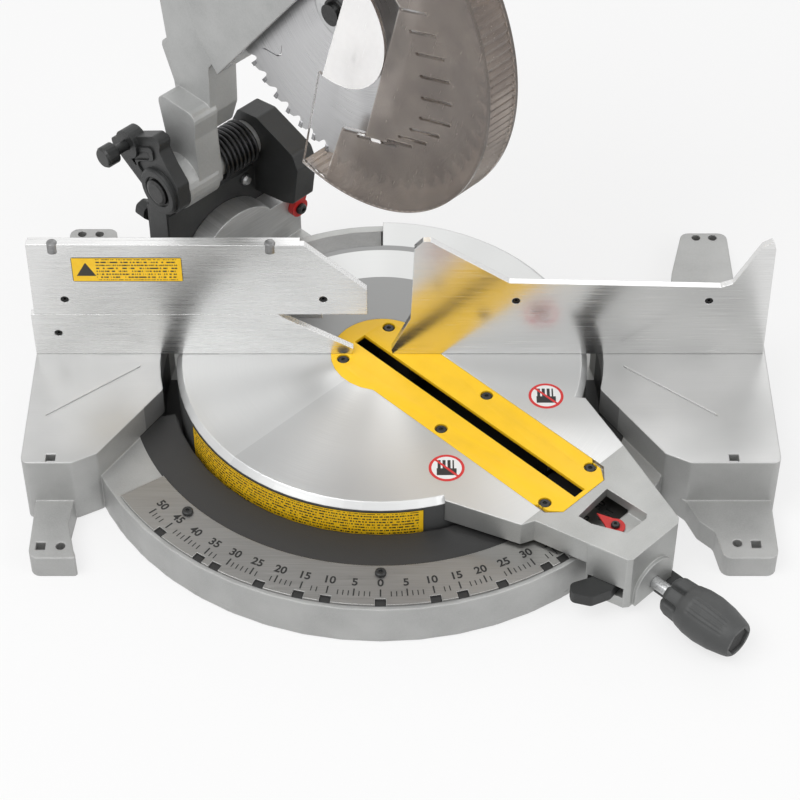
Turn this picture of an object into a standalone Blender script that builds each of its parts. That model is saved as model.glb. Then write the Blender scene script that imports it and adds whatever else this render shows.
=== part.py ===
"""A 12 inch compound miter saw with a single bevel head, standing on a bench.

Sizes are in millimetres and MM turns them into Blender's metres. X is to the right, Y to the back, Z up.
Every piece is modelled with the arm straight ahead, the head upright and the blade lowered, and with the
table top at Z = 0. The empties on the joint axes then carry the pieces to the pose the saw stands in.
"""

import math

import bmesh
import bpy
from mathutils import Matrix, Vector

MM = 0.001
GAP = 0.3
FLAT = math.radians(0.05)

# The pose the saw stands in
MITER_ANGLE = math.radians(45)
CHOP_TRAVEL = math.radians(51.5)
GUARD_RATIO = 3.04

# The base
TABLE_HEIGHT = 67.0
LEFT_END = -291.0
RIGHT_END = 323.0
WING_FRONT = -125.6
WING_BACK = 52.0
WING_BORE = 186.5
BASE_WALL = 6.0
RING_OUTER = 256.0
RING_INNER = 178.0
RING_LEVEL = -28.0
CASTING_BOTTOM = -66.0
FLOOR_TOP = -61.0
FOOT_TOP = -45.0
HUB_RADIUS = 24.0
CARRY_GRIP_DEPTH = 14.0

# The turntable and its arm
TURNTABLE_RADIUS = 173.0
TURNTABLE_WALL = 7.0
TURNTABLE_BOTTOM = FLOOR_TOP + GAP
TURNTABLE_CHAMFER = 5.0
ARM_SPAN_BOTTOM = -23.0
ARM_BLOCK_START = 264.0
ARM_BLOCK_BOTTOM = -58.0
ARM_END = 300.0
TROUGH_LEFT = -10.0
TROUGH_RIGHT = 15.0
TRUNNION_FRONT = 176.0
TRUNNION_BACK = 196.0
TRUNNION_HALF_WIDTH = 72.0
TRUNNION_CROWN = 48.0
TOP_SKIN = 9.0
NECK_TOP = -14.0
REAR_BAND_LEVEL = -9.0
TROUGH_BOTTOM = -40.0
PIVOT_RADIUS = 7.7
HUB_TOP = -54.0
COLLAR_RADIUS = 22.0

# The kerf plate
KERF_RADIUS = 43.0
KERF_HALF_WIDTH = 35.0
KERF_END = 228.0
KERF_THICKNESS = 3.5
KERF_SLOT_WIDTH = 12.0
KERF_SLOT_BACK = 27.0
KERF_SCREW_RADIUS = 4.5
KERF_SCREW_PLACES = (-19.0, 96.0, 211.0)
KERF_SCREW_SIDE = 27.0

# The miter scale and lock
SCALE_INNER = 212.0
SCALE_OUTER = 252.0
SCALE_THICKNESS = 1.7
SCALE_SPAN = math.radians(57)
LOCK_AXIS_HEIGHT = -45.6
LOCK_AXIS_SIDE = 4.0
LOCK_ROD_RADIUS = 5.0
LATCH_LOW = -47.0
LATCH_HIGH = -36.0
POINTER_LEVEL = -12.0
KNOB_START = 321.0
KNOB_END = 389.0
KNOB_RADIUS = 21.0

# The fences
FENCE_THICKNESS = 6.0
RIGHT_FENCE_END = 321.0
LOWER_FENCE_TOP = 45.7
FENCE_FOOT_BACK = 36.0
FENCE_FOOT_TOP = 8.0
FENCE_BOLT_Y = 22.0
FENCE_BOLT_RADIUS = 6.0
GUIDE_LOW = 30.0
GUIDE_BACK = 16.0
TONGUE_LOW = 26.0
TONGUE_THICKNESS = 5.0
CLAMP_X = -250.0
CLAMP_Z = 37.0

# The bevel support
BEVEL_BODY_TOP = 68.0
LOCK_PIN = (238.0, 127.0)
LOCK_PIN_RADIUS = 4.5
SLEEVE_RADIUS = 16.5
SPRING_WIRE = 2.0
SPRING_START = -5.0
SPRING_END = 34.0
SPRING_TURNS = 6
SPRING_POINTS = 10
SPRING_RADIUS = (SLEEVE_RADIUS + SPRING_WIRE + GAP) / math.cos(math.pi / SPRING_POINTS)
BEVEL_FRONT = TRUNNION_BACK + GAP
BEVEL_BACK = 224.0
BEVEL_HUB_RADIUS = 54.0
BEVEL_PIN_RADIUS = 9.0
CHEEK_LEFT_OUTER = -62.0
CHEEK_LEFT_INNER = -50.0
CHEEK_RIGHT_INNER = 38.0
CHEEK_RIGHT_OUTER = 60.0
CHOP_AXIS_BACK = 202.0
CHOP_AXIS_HEIGHT = 96.0
CHOP_PIN_RADIUS = 8.0
KNUCKLE_RADIUS = 24.0
BOSS_RADIUS = 22.0
BOSS_RISE = 2.0
LOCK_BOSS_RISE = 4.0

# The blade and its guards
ARBOR_Y = -87.0
ARBOR_HEIGHT = 118.0
BLADE_RADIUS = 152.5
BLADE_THICKNESS = 2.4
ARBOR_RADIUS = 8.0
FLANGE_RADIUS = 25.0
FLANGE_THICKNESS = 5.0
LOWER_GUARD_RADIUS = 165.0
LOWER_GUARD_HALF_WIDTH = 15.5
LOWER_GUARD_WALL = 2.5
LOWER_GUARD_START = 3
LOWER_GUARD_END = 173
UPPER_GUARD_RADIUS = 176.0
UPPER_GUARD_WALL = 4.0
UPPER_GUARD_HALF_WIDTH = 20.5
NOSE_RADIUS = 31.0
GEARCASE_RADIUS = 32.5
BOLT_RADIUS = 4.0
TEETH = 40

# The motor and the handle
MOTOR_Y = -70.0
MOTOR_HEIGHT = 172.0
MOTOR_RADIUS = 49.0
MOTOR_START = 60.3
MOTOR_END = 205.0
MOTOR_CAP_END = 228.0
MOTOR_SHAFT_RADIUS = 5.0
GEARCASE_END = 44.0
NOSE_FACE = 8.0
BRUSH_X = 186.0
BUTTON_X = 33.0
BUTTON_RADIUS = 7.0
HANDLE_BACK = -205.0
TRIGGER_HALF_WIDTH = 7.0
TRIGGER_PIVOT = (-312.0, 280.0)
CHUTE_RADIUS = 16.0
CHUTE_X = 13.0
CHUTE_ROOT = (32.0, 181.5)
CHUTE_START = (72.0, 211.5)

FINISHES = {
    "cast": ((0.30, 0.31, 0.33), 0.45, 0.6),
    "machined": ((0.55, 0.57, 0.60), 0.32, 0.85),
    "dark": ((0.06, 0.065, 0.075), 0.6, 0.0),
    "black": ((0.018, 0.019, 0.021), 0.5, 0.0),
    "yellow": ((0.85, 0.55, 0.03), 0.4, 0.0),
    "red": ((0.55, 0.03, 0.03), 0.45, 0.0),
    "steel": ((0.6, 0.61, 0.63), 0.28, 0.9),
    "blade": ((0.62, 0.63, 0.65), 0.25, 0.95),
    "smoke": ((0.12, 0.10, 0.09), 0.2, 0.0),
}


def clear_scene():
    for obj in list(bpy.data.objects):
        bpy.data.objects.remove(obj)


def tool_collection():
    """The collection of the Boolean tools, which are never rendered."""
    found = bpy.data.collections.get("tools")
    if found is None:
        found = bpy.data.collections.new("tools")
        bpy.context.scene.collection.children.link(found)
        found.hide_render = True
    return found


def link(name, mesh):
    obj = bpy.data.objects.new(name, mesh)
    bpy.context.scene.collection.objects.link(obj)
    return obj


def mesh_object(name, bm):
    if bm.calc_volume(signed=True) < 0:
        bmesh.ops.reverse_faces(bm, faces=bm.faces)
    bm.transform(Matrix.Scale(MM, 4))
    mesh = bpy.data.meshes.new(name)
    bm.to_mesh(mesh)
    bm.free()
    return link(name, mesh)


PLANES = {
    "XY": Matrix.Identity(4),
    "YZ": Matrix(((0, 0, 1, 0), (1, 0, 0, 0), (0, 1, 0, 0), (0, 0, 0, 1))),
    "XZ": Matrix(((1, 0, 0, 0), (0, 0, -1, 0), (0, 1, 0, 0), (0, 0, 0, 1))),
}


def plate(name, outlines, low, high, plane="XY"):
    """A flat outline, with holes where outlines lie inside one another, that fills low to high."""
    curve = bpy.data.curves.new(name, "CURVE")
    curve.dimensions = "2D"
    curve.fill_mode = "BOTH"
    curve.extrude = (high - low) / 2
    for points in outlines:
        spline = curve.splines.new("POLY")
        spline.points.add(len(points) - 1)
        spline.use_cyclic_u = True
        for point, (across, along) in zip(spline.points, points):
            point.co = (across, along, 0, 1)
    helper = link(name + "_outline", curve)
    mesh = bpy.data.meshes.new_from_object(helper)
    bpy.data.objects.remove(helper)
    middle = (high + low) / 2 if plane != "XZ" else -(high + low) / 2
    bm = bmesh.new()
    bm.from_mesh(mesh)
    bmesh.ops.remove_doubles(bm, verts=bm.verts, dist=0.001)
    bmesh.ops.recalc_face_normals(bm, faces=bm.faces)
    bmesh.ops.dissolve_limit(bm, angle_limit=FLAT, verts=bm.verts, edges=bm.edges)
    bm.transform(PLANES[plane] @ Matrix.Translation((0, 0, middle)))
    return mesh_object(name, bm)


def box(name, low, high):
    bm = bmesh.new()
    bmesh.ops.create_cube(bm, size=1)
    low, high = Vector(low), Vector(high)
    size = Matrix.Diagonal((*(high - low), 1))
    bm.transform(Matrix.Translation((low + high) / 2) @ size)
    return mesh_object(name, bm)


def rod(name, start, end, radius, sides=32, end_radius=None):
    """A cylinder, or a cone with an end_radius, between two points."""
    start, end = Vector(start), Vector(end)
    along = end - start
    bm = bmesh.new()
    bmesh.ops.create_cone(
        bm,
        cap_ends=True,
        segments=sides,
        radius1=radius,
        radius2=radius if end_radius is None else end_radius,
        depth=along.length,
    )
    turn = along.to_track_quat("Z", "Y").to_matrix().to_4x4()
    bm.transform(Matrix.Translation((start + end) / 2) @ turn)
    return mesh_object(name, bm)


def chamfer_top(obj, width):
    """Chamfers the edge round the highest face."""
    bm = bmesh.new()
    bm.from_mesh(obj.data)
    top = max(vertex.co.z for vertex in bm.verts) - 0.01 * MM
    rim = [edge for edge in bm.edges if all(vertex.co.z > top for vertex in edge.verts)]
    bmesh.ops.bevel(bm, geom=rim, offset=width * MM, segments=1, affect="EDGES")
    bm.to_mesh(obj.data)
    bm.free()


def turned(name, profile, place, direction, sides=32):
    """A turned piece: profile holds (radius, distance along direction), closed on the axis at both ends."""
    bm = bmesh.new()
    ends = zip(profile, profile[1:] + profile[:1])
    if sum(first[0] * second[1] - second[0] * first[1] for first, second in ends) > 0:
        profile = profile[::-1]
    points = [bm.verts.new((radius * MM, 0, along * MM)) for radius, along in profile]
    for first, second in zip(points, points[1:]):
        bm.edges.new((first, second))
    mesh = bpy.data.meshes.new(name)
    bm.to_mesh(mesh)
    bm.free()
    turn = Vector(direction).to_track_quat("Z", "Y").to_matrix().to_4x4()
    obj = link(name, mesh)
    screw = obj.modifiers.new("turn", "SCREW")
    screw.steps = sides
    screw.render_steps = sides
    screw.use_merge_vertices = True
    screw.merge_threshold = 0.00001
    obj.matrix_world = Matrix.Translation(Vector(place) * MM) @ turn
    return obj


def tool_of(target, tool, operation):
    for collection in list(tool.users_collection):
        collection.objects.unlink(tool)
    tool_collection().objects.link(tool)
    tool.hide_render = True
    tool.display_type = "WIRE"
    tool.parent = target
    tool.matrix_parent_inverse = target.matrix_basis.inverted()
    boolean = target.modifiers.new(tool.name, "BOOLEAN")
    boolean.operation = operation
    boolean.solver = "EXACT"
    boolean.object = tool


def cut(target, *tools):
    for tool in tools:
        tool_of(target, tool, "DIFFERENCE")


def join(target, *tools):
    for tool in tools:
        tool_of(target, tool, "UNION")


def arc(centre, radius, start, end, steps):
    """Points on a circle from the start angle to the end angle."""
    points = []
    for step in range(steps + 1):
        angle = start + (end - start) * step / steps
        points.append((centre[0] + radius * math.cos(angle), centre[1] + radius * math.sin(angle)))
    return points


def circle(centre, radius, sides=32):
    return arc(centre, radius, 0, 2 * math.pi * (sides - 1) / sides, sides - 1)


def square(centre, side):
    x, y = centre
    half = side / 2
    return [(x - half, y - half), (x + half, y - half), (x + half, y + half), (x - half, y + half)]


def rounded(points, radius, steps=4):
    """The outline with each corner replaced by a round of this radius, where its edges are long enough."""
    out = []
    count = len(points)
    for i in range(count):
        corner = Vector(points[i])
        before = Vector(points[i - 1]) - corner
        after = Vector(points[(i + 1) % count]) - corner
        half = before.angle(after) / 2
        back = min(radius / math.tan(half), before.length * 0.45, after.length * 0.45)
        size = back * math.tan(half)
        if math.degrees(half) > 85 or size < 0.3:
            out.append(tuple(corner))
            continue
        middle = corner + (before.normalized() + after.normalized()).normalized() * size / math.sin(half)
        first = corner + before.normalized() * back - middle
        last = corner + after.normalized() * back - middle
        turn = first.angle_signed(last)
        for step in range(steps + 1):
            spoke = first.copy()
            spoke.rotate(Matrix.Rotation(-turn * step / steps, 2))
            out.append(tuple(middle + spoke))
    return out


def joint_empty(name, parent, place):
    """An empty on a joint's axis, in the modelling pose."""
    empty = bpy.data.objects.new(name, None)
    bpy.context.scene.collection.objects.link(empty)
    empty.parent = parent
    design = Vector(place) * MM
    empty["design"] = tuple(design)
    empty.location = design - Vector(parent["design"]) if parent else design
    return empty


def attach(obj, joint, finish):
    """Hangs a piece on its joint and gives it its own material."""
    colour, roughness, metallic = FINISHES[finish]
    material = bpy.data.materials.new(obj.name + "_finish")
    material.use_nodes = True
    shader = material.node_tree.nodes["Principled BSDF"]
    shader.inputs["Base Color"].default_value = (*colour, 1)
    shader.inputs["Roughness"].default_value = roughness
    shader.inputs["Metallic"].default_value = metallic
    obj.data.materials.append(material)
    if any(modifier.type == "BOOLEAN" for modifier in obj.modifiers):
        flat = obj.modifiers.new("flat_faces", "DECIMATE")
        flat.decimate_type = "DISSOLVE"
        flat.angle_limit = FLAT
    obj.parent = joint
    obj.matrix_parent_inverse = Matrix.Translation(-Vector(joint["design"]))
    return obj


def screw(name, place, direction, radius, head, length, joint, finish="steel"):
    """A pan head screw: place is where the head's underside sits, direction the way the screw looks out."""
    profile = [
        (0, -length),
        (radius * 0.5, -length),
        (radius * 0.5, 0),
        (radius, 0),
        (radius, head * 0.6),
        (radius * 0.7, head),
        (0, head),
    ]
    return attach(turned(name, profile, place, direction, 12), joint, finish)


def build_base(joint):
    """The base casting: two wings on a floor, with the ring that carries the miter scale."""
    left_ring = arc((0, 0), WING_BORE, math.radians(193), math.radians(164), 6)
    left = [(LEFT_END, WING_BACK), (LEFT_END, WING_FRONT), (-250, WING_FRONT), (-230, -115)]
    left += left_ring + [(-200, 36), (-224, WING_BACK)]
    right_ring = arc((0, 0), WING_BORE, math.radians(16), math.radians(-13), 6)
    right = [(250, WING_FRONT), (RIGHT_END, WING_FRONT), (RIGHT_END, WING_BACK), (198, WING_BACK)]
    right += right_ring + [(230, -115)]
    floor = arc((0, 0), 206.0, math.radians(14), math.radians(166), 12)
    floor += arc((0, 0), RING_OUTER, math.radians(206), math.radians(334), 18)
    base = plate("base_casting", [floor], CASTING_BOTTOM, FLOOR_TOP)
    front_left = [(-283, -110), (-283, -188), (-244, -188), (-247, -180), (-254, -150), (-250, -110)]
    front_right = [(232, -110), (250, -128), (258, -148), (270, -160), (275, -188), (319, -188), (319, -110)]
    feet = {
        "foot_front_left": front_left,
        "foot_front_right": front_right,
        "foot_back_left": [(-287, 40), (-287, 210), (-244, 210), (-240, 40)],
        "foot_back_right": [(252, 40), (260, 150), (273, 204), (314, 204), (316, 40)],
    }
    for name, outline in feet.items():
        join(base, plate(name, [rounded(outline, 8)], -TABLE_HEIGHT, FOOT_TOP))
    for side, outline in (("left", left), ("right", right)):
        wing = plate(side + "_wing", [rounded(outline, 6)], CASTING_BOTTOM, 0)
        join(base, wing)
    spread = math.radians(75)
    top_spread = math.radians(76)
    down = math.radians(270)
    rim = arc((0, 0), RING_OUTER, down - spread, down + spread, 22)
    inner_rim = arc((0, 0), RING_OUTER - BASE_WALL, down + spread, down - spread, 22)
    ring_top = arc((0, 0), RING_OUTER, down - top_spread, down + top_spread, 22)
    ring_top += arc((0, 0), RING_INNER, down + top_spread, down - top_spread, 20)
    join(
        base,
        plate("ring_wall", [rim + inner_rim], CASTING_BOTTOM, RING_LEVEL),
        plate("ring_top", [ring_top], RING_LEVEL - BASE_WALL, RING_LEVEL),
    )
    for name, low, high in (("rib_back_left", -285, -279), ("rib_back_right", 306, 312)):
        slope = [(WING_BACK - 5, -58), (WING_BACK + 72, -58), (WING_BACK + 72, -44), (WING_BACK - 5, -7)]
        join(base, plate(name, [slope], low, high, "YZ"))
    hollow_left = [(LEFT_END + 6, WING_BACK - 6), (LEFT_END + 6, WING_FRONT + 6), (-248, WING_FRONT + 6)]
    hollow_left += [(-237, -112), (-196, -44), (-196, 0), (-206, 32), (-228, WING_BACK - 6)]
    hollow_right = [(248, WING_FRONT + 6), (RIGHT_END - 6, WING_FRONT + 6), (RIGHT_END - 6, WING_BACK - 6)]
    hollow_right += [(205, WING_BACK - 6), (196, 0), (196, -44), (237, -112)]
    for name, outline in (("hollow_left", hollow_left), ("hollow_right", hollow_right)):
        cut(base, plate(name, [outline], -TABLE_HEIGHT - 1, -BASE_WALL - 2))
    join(base, rod("base_hub", (0, 0, FLOOR_TOP - 1), (0, 0, HUB_TOP), HUB_RADIUS, 20))
    cut(base, rod("hub_bore", (0, 0, -70), (0, 0, -50), PIVOT_RADIUS + GAP, 24))
    holes = [
        square((-267, -120), 8),
        square((285, -120), 8),
        square((-274, -175), 8),
        circle((-258, -175), 4, 16),
        circle((287, -172), 4, 16),
        square((302, -173), 8),
        circle((286, 198), 4, 16),
        circle((301, 198), 4, 16),
        circle((-276, 203), 4, 16),
        circle((-260, 203), 4, 16),
    ]
    for number, outline in enumerate(holes):
        cut(base, plate(f"base_hole_{number}", [outline], -TABLE_HEIGHT - 1, 1))
    for name, outline in (
        ("groove_left", [(-276, -73), (-275, -71), (-202, -14), (-203, -16)]),
        ("groove_right", [(276, -73), (203, -16), (202, -14), (275, -71)]),
    ):
        cut(base, plate(name, [outline], -1.2, 1))
    for side, low, high in (
        ("left", LEFT_END - 1, LEFT_END + CARRY_GRIP_DEPTH),
        ("right", RIGHT_END - CARRY_GRIP_DEPTH, RIGHT_END + 1),
    ):
        cut(base, box(side + "_carry_grip", (low, -60, -TABLE_HEIGHT - 1), (high, 20, -48)))
    attach(base, joint, "cast")

    middle = math.radians(270)
    scale = arc((0, 0), SCALE_OUTER, middle - SCALE_SPAN, middle + SCALE_SPAN, 30)
    scale += arc((0, 0), SCALE_INNER, middle + SCALE_SPAN, middle - SCALE_SPAN, 30)
    holes = []
    for angle in (-45, 0, 45):
        at = middle + math.radians(angle)
        holes.append(circle((220 * math.cos(at), 220 * math.sin(at)), 2.2, 12))
    level = RING_LEVEL + GAP
    attach(plate("miter_scale", [scale] + holes, level, level + SCALE_THICKNESS), joint, "dark")
    for number, angle in enumerate((-45, 0, 45)):
        at = middle + math.radians(angle)
        place = (220 * math.cos(at), 220 * math.sin(at), level + SCALE_THICKNESS + GAP)
        hole = rod(f"scale_screw_bore_{number}", (*place[:2], -40), (*place[:2], -20), 2.2, 12)
        cut(base, hole)
        screw(f"scale_screw_{number + 1}", place, (0, 0, 1), 3.6, 1.6, 9, joint)


def build_right_fence(joint):
    """The fixed right fence, on a foot bolted to the right wing."""
    outline = [(9, GAP), (RIGHT_FENCE_END, GAP), (319, 118), (316, 125), (308, 120), (288, 80), (278, 76)]
    outline += [(105, 80.9), (40, 126), (34, 126), (27, 118), (24, 41), (8, 5)]
    holes = [circle((111, 61), 3.5, 16), circle((270, 61), 3.5, 16)]
    fence = plate("fence_right", [outline] + holes, 0, FENCE_THICKNESS, "XZ")
    join(fence, box("right_foot", (192, FENCE_THICKNESS - 1, GAP), (318, FENCE_FOOT_BACK, FENCE_FOOT_TOP)))
    gusset = [(5, 6), (FENCE_FOOT_BACK, 6), (FENCE_FOOT_BACK, 9), (5, 66)]
    for number, x in enumerate((196, 254, 312)):
        join(fence, plate(f"right_gusset_{number}", [gusset], x - 2.5, x + 2.5, "YZ"))
    attach_fence_bolts(fence, "right", (222, 286), joint)
    attach(fence, joint, "machined")


def attach_fence_bolts(fence, side, places, joint):
    for number, x in enumerate(places):
        place = (x, FENCE_BOLT_Y, FENCE_FOOT_TOP + GAP)
        bore = FENCE_BOLT_RADIUS / 2 + GAP
        cut(fence, rod(f"{side}_bolt_bore_{number}", (x, FENCE_BOLT_Y, -1), (x, FENCE_BOLT_Y, 12), bore, 16))
        cut(
            bpy.data.objects["base_casting"],
            rod(f"{side}_bolt_seat_{number}", (x, FENCE_BOLT_Y, -12), (x, FENCE_BOLT_Y, 1), bore, 16),
        )
        screw(f"fence_bolt_{side}_{number + 1}", place, (0, 0, 1), FENCE_BOLT_RADIUS, 5, 14, joint)


def build_left_fence(joint, slide, knob):
    """The fixed left rail, and the tall fence that slides outward along it."""
    end = LEFT_END
    top = LOWER_FENCE_TOP
    outline = [(end, GAP), (-25, GAP), (-24, 6), (-82, 42), (-86, top), (end, top)]
    rail = plate("fence_left_rail", [outline, circle((-270, 24.5), 3.5, 16)], 0, FENCE_THICKNESS, "XZ")
    back = FENCE_THICKNESS - 1
    join(
        rail,
        box("left_foot", (end + 3, back, GAP), (-192, FENCE_FOOT_BACK, FENCE_FOOT_TOP)),
        box("guide", (end + 3, back, GUIDE_LOW), (-96, GUIDE_BACK, top)),
    )
    attach_fence_bolts(rail, "left", (-272, -214), joint)
    attach(rail, joint, "machined")

    low = top + GAP
    outline = [(end + 3, low), (end + 4, 123), (-62.5, 122), (-12, 73), (-12, low)]
    holes = [circle((-261, 62.8), 3.5, 16), circle((-48, 62.8), 3.5, 16)]
    fence = plate("fence_left_slide", [outline] + holes, 0, FENCE_THICKNESS, "XZ")
    tongue_front = GUIDE_BACK + GAP
    join(
        fence,
        box("top_lip", (end + 4.5, back, 114), (-66, 11, 121)),
        box("bridge", (end + 4, back, low), (-52, tongue_front + TONGUE_THICKNESS, low + 5)),
        box("tongue", (end + 4, tongue_front, TONGUE_LOW), (-50, tongue_front + TONGUE_THICKNESS, low + 3)),
    )
    knob_back = tongue_front + TONGUE_THICKNESS + GAP
    bore = rod("clamp_bore", (CLAMP_X, tongue_front - 1, CLAMP_Z), (CLAMP_X, knob_back + 1, CLAMP_Z), 3.3, 16)
    cut(fence, bore)
    attach(fence, slide, "machined")
    profile = [(0, -4), (3, -4), (3, 0), (9, 0), (11, 4), (11, 14), (9, 17), (0, 17)]
    attach(turned("fence_clamp_knob", profile, (CLAMP_X, knob_back, CLAMP_Z), (0, 1, 0), 20), knob, "black")


def arm_outline():
    """The arm's plan, from inside the disc to its front face."""
    left = [(-50, -110), (-81.6, -153.6), (-57.7, -214), (-46.9, -218.6), (-26, -297)]
    return left + [(-22, -ARM_END), (31, -ARM_END), (35.5, -297), (65, -211), (82.3, -156), (50, -110)]


def build_turntable(joint):
    """The turntable with its arm and the trunnion that carries the bevel support."""
    bottom = TURNTABLE_BOTTOM
    table = rod("turntable", (0, 0, bottom), (0, 0, 0), TURNTABLE_RADIUS, 72)
    chamfer_top(table, TURNTABLE_CHAMFER)
    block = [(-35, -ARM_BLOCK_START), (-26, -297), (-22, -ARM_END), (31, -ARM_END), (35.5, -297)]
    block += [(47, -ARM_BLOCK_START)]
    crown = arc((0, 0), TRUNNION_CROWN, math.radians(39.4), math.radians(140.6), 14)
    side = TRUNNION_HALF_WIDTH
    trunnion = [(-side, bottom), (side, bottom), (side, 24), (66, 30.5)] + crown + [(-66, 30.5), (-side, 24)]
    collar = arc((LOCK_AXIS_SIDE, LOCK_AXIS_HEIGHT), COLLAR_RADIUS, 0, math.pi, 16)
    collar += [(LOCK_AXIS_SIDE - COLLAR_RADIUS, ARM_BLOCK_BOTTOM)]
    collar += [(LOCK_AXIS_SIDE + COLLAR_RADIUS, ARM_BLOCK_BOTTOM)]
    join(
        table,
        plate("arm", [arm_outline()], ARM_SPAN_BOTTOM, 0),
        plate("arm_block", [block], ARM_BLOCK_BOTTOM, -1),
        plate("collar", [collar], -ARM_END - 3, -ARM_END + 2, "XZ"),
        box("neck", (-side, 120, bottom), (side, TRUNNION_FRONT + 2, NECK_TOP)),
        plate("trunnion", [trunnion], TRUNNION_FRONT, TRUNNION_BACK, "XZ"),
    )
    inside = TURNTABLE_RADIUS - TURNTABLE_WALL
    band = arc((0, 0), 137, math.radians(45), math.radians(135), 11)
    band += arc((0, 0), TURNTABLE_RADIUS + 2, math.radians(135), math.radians(45), 11)
    under_arm = [(-40, -176), (-70, -176), (-50, -209), (-39, -216), (-27, -258)]
    under_arm += [(37, -258), (58, -209), (72, -176)]
    cut(
        table,
        rod("hollow", (0, 0, bottom - 1), (0, 0, -TOP_SKIN), inside, 40),
        plate("under_arm", [under_arm], ARM_SPAN_BOTTOM - 1, -TOP_SKIN),
        box("under_neck", (-side + 8, 150, bottom - 1), (side - 8, TRUNNION_FRONT - 2, NECK_TOP - 8)),
        plate("rear_band", [band], REAR_BAND_LEVEL, 1),
    )
    join(table, rod("hub", (0, 0, HUB_TOP + GAP), (0, 0, -TOP_SKIN + 1), HUB_RADIUS, 20))
    window = [(-19, -239.5), (7.6, -237), (19, -236), (21, -276), (17, -279), (-5.4, -278), (-17.8, -252)]
    cut(
        table,
        box("trough", (TROUGH_LEFT, -226, TROUGH_BOTTOM), (TROUGH_RIGHT, 30, 1)),
        plate("kerf_seat", [kerf_outline(GAP)], -KERF_THICKNESS - GAP, 1),
        plate("window", [window], POINTER_LEVEL, 1),
        box("window_hole", (-14, -256, -30), (16, -240, 1)),
        rod("pivot_bore", (0, 0, -62), (0, 0, -30), PIVOT_RADIUS + GAP, 24),
        rod("bevel_bore", (0, 150, 0), (0, 230, 0), BEVEL_PIN_RADIUS + GAP, 24),
        rod(
            "lock_bore",
            (LOCK_AXIS_SIDE, -KNOB_START, LOCK_AXIS_HEIGHT),
            (LOCK_AXIS_SIDE, -ARM_BLOCK_START + 1, LOCK_AXIS_HEIGHT),
            LOCK_ROD_RADIUS + GAP,
            24,
        ),
        plate("latch_slot", [latch_slot_outline()], LATCH_LOW - GAP, LATCH_HIGH + GAP),
    )
    for number, (x, y) in enumerate(kerf_screw_places()):
        cut(table, rod(f"kerf_bore_{number}", (x, y, -16), (x, y, 0), KERF_SCREW_RADIUS / 2 + GAP, 12))
    cut(table, rod("pointer_bore", (1, -261.5, -20), (1, -261.5, 0), 1.9, 12))
    attach(table, joint, "machined")


def kerf_outline(grow):
    """The kerf plate's outline, grown outward on every side."""
    radius = KERF_RADIUS + grow
    half = KERF_HALF_WIDTH + grow
    start = math.asin(half / radius)
    back = arc((0, 0), radius, start - math.pi / 2, math.radians(270) - start, 18)
    corner = -KERF_END + 10
    end = -KERF_END - grow
    return back + [(-half, corner), (-half + 11, end), (half - 11, end), (half, corner)]


def kerf_screw_places():
    return [(side * KERF_SCREW_SIDE, -u) for u in KERF_SCREW_PLACES for side in (-1, 1)]


def build_kerf_plate(joint):
    half = KERF_SLOT_WIDTH / 2
    slot = [(-half, KERF_SLOT_BACK), (-half, -224), (half, -224), (half, KERF_SLOT_BACK)]
    holes = [circle(place, KERF_SCREW_RADIUS + GAP, 16) for place in kerf_screw_places()]
    attach(plate("kerf_plate", [kerf_outline(0), slot] + holes, -KERF_THICKNESS, 0), joint, "yellow")
    for number, (x, y) in enumerate(kerf_screw_places()):
        screw(f"kerf_screw_{number + 1}", (x, y, -2.6), (0, 0, 1), KERF_SCREW_RADIUS, 2.2, 10, joint)


def latch_slot_outline():
    return [(-45, -266), (-45, -296), (-18, -296), (-6, -292), (-6, -270), (-18, -266)]


def build_miter_controls(joint, knob_joint, latch_joint, paddle_joint):
    """The pointer, the lock knob on its rod, the latch lever and the detent override paddle."""
    level = POINTER_LEVEL + GAP
    ring = arc((1, -261.5), 8, math.radians(130), math.radians(410), 20)
    pointer = ring + [(1, -242)]
    attach(plate("miter_pointer", [pointer, circle((1, -261.5), 1.9, 12)], level, level + 1.5), joint, "red")
    screw("pointer_screw", (1, -261.5, level + 1.5 + GAP), (0, 0, 1), 3.2, 2.5, 7, joint, "black")

    start = (LOCK_AXIS_SIDE, -KNOB_START + 42, LOCK_AXIS_HEIGHT)
    end = (LOCK_AXIS_SIDE, -KNOB_START - 24, LOCK_AXIS_HEIGHT)
    attach(rod("miter_lock_rod", start, end, LOCK_ROD_RADIUS, 24), knob_joint, "steel")
    length = KNOB_END - KNOB_START
    profile = [
        (0, 25),
        (LOCK_ROD_RADIUS + GAP, 25),
        (LOCK_ROD_RADIUS + GAP, 0),
        (14, 0),
        (16.5, 2),
        (17.5, 14),
        (20.2, 26),
        (KNOB_RADIUS, 37),
        (19.6, 50),
        (16.6, 62),
        (15, length - 1),
        (13.5, length),
        (0, length),
    ]
    place = (LOCK_AXIS_SIDE, -KNOB_START, LOCK_AXIS_HEIGHT)
    attach(turned("miter_lock_knob", profile, place, (0, -1, 0), 24), knob_joint, "dark")

    lever = [(-12, -287), (-8, -281), (-12, -275), (-34, -270), (-52, -262)]
    lever += [(-58, -270), (-50, -284), (-34, -290)]
    attach(plate("miter_latch_lever", [rounded(lever, 5)], LATCH_LOW, LATCH_HIGH), latch_joint, "black")
    paddle = [(8, -270), (8, -312), (12, -317), (28, -317), (32, -312), (32, -270)]
    top = ARM_BLOCK_BOTTOM - GAP
    attach(plate("detent_override_paddle", [rounded(paddle, 4)], top - 5, top), paddle_joint, "black")


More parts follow.
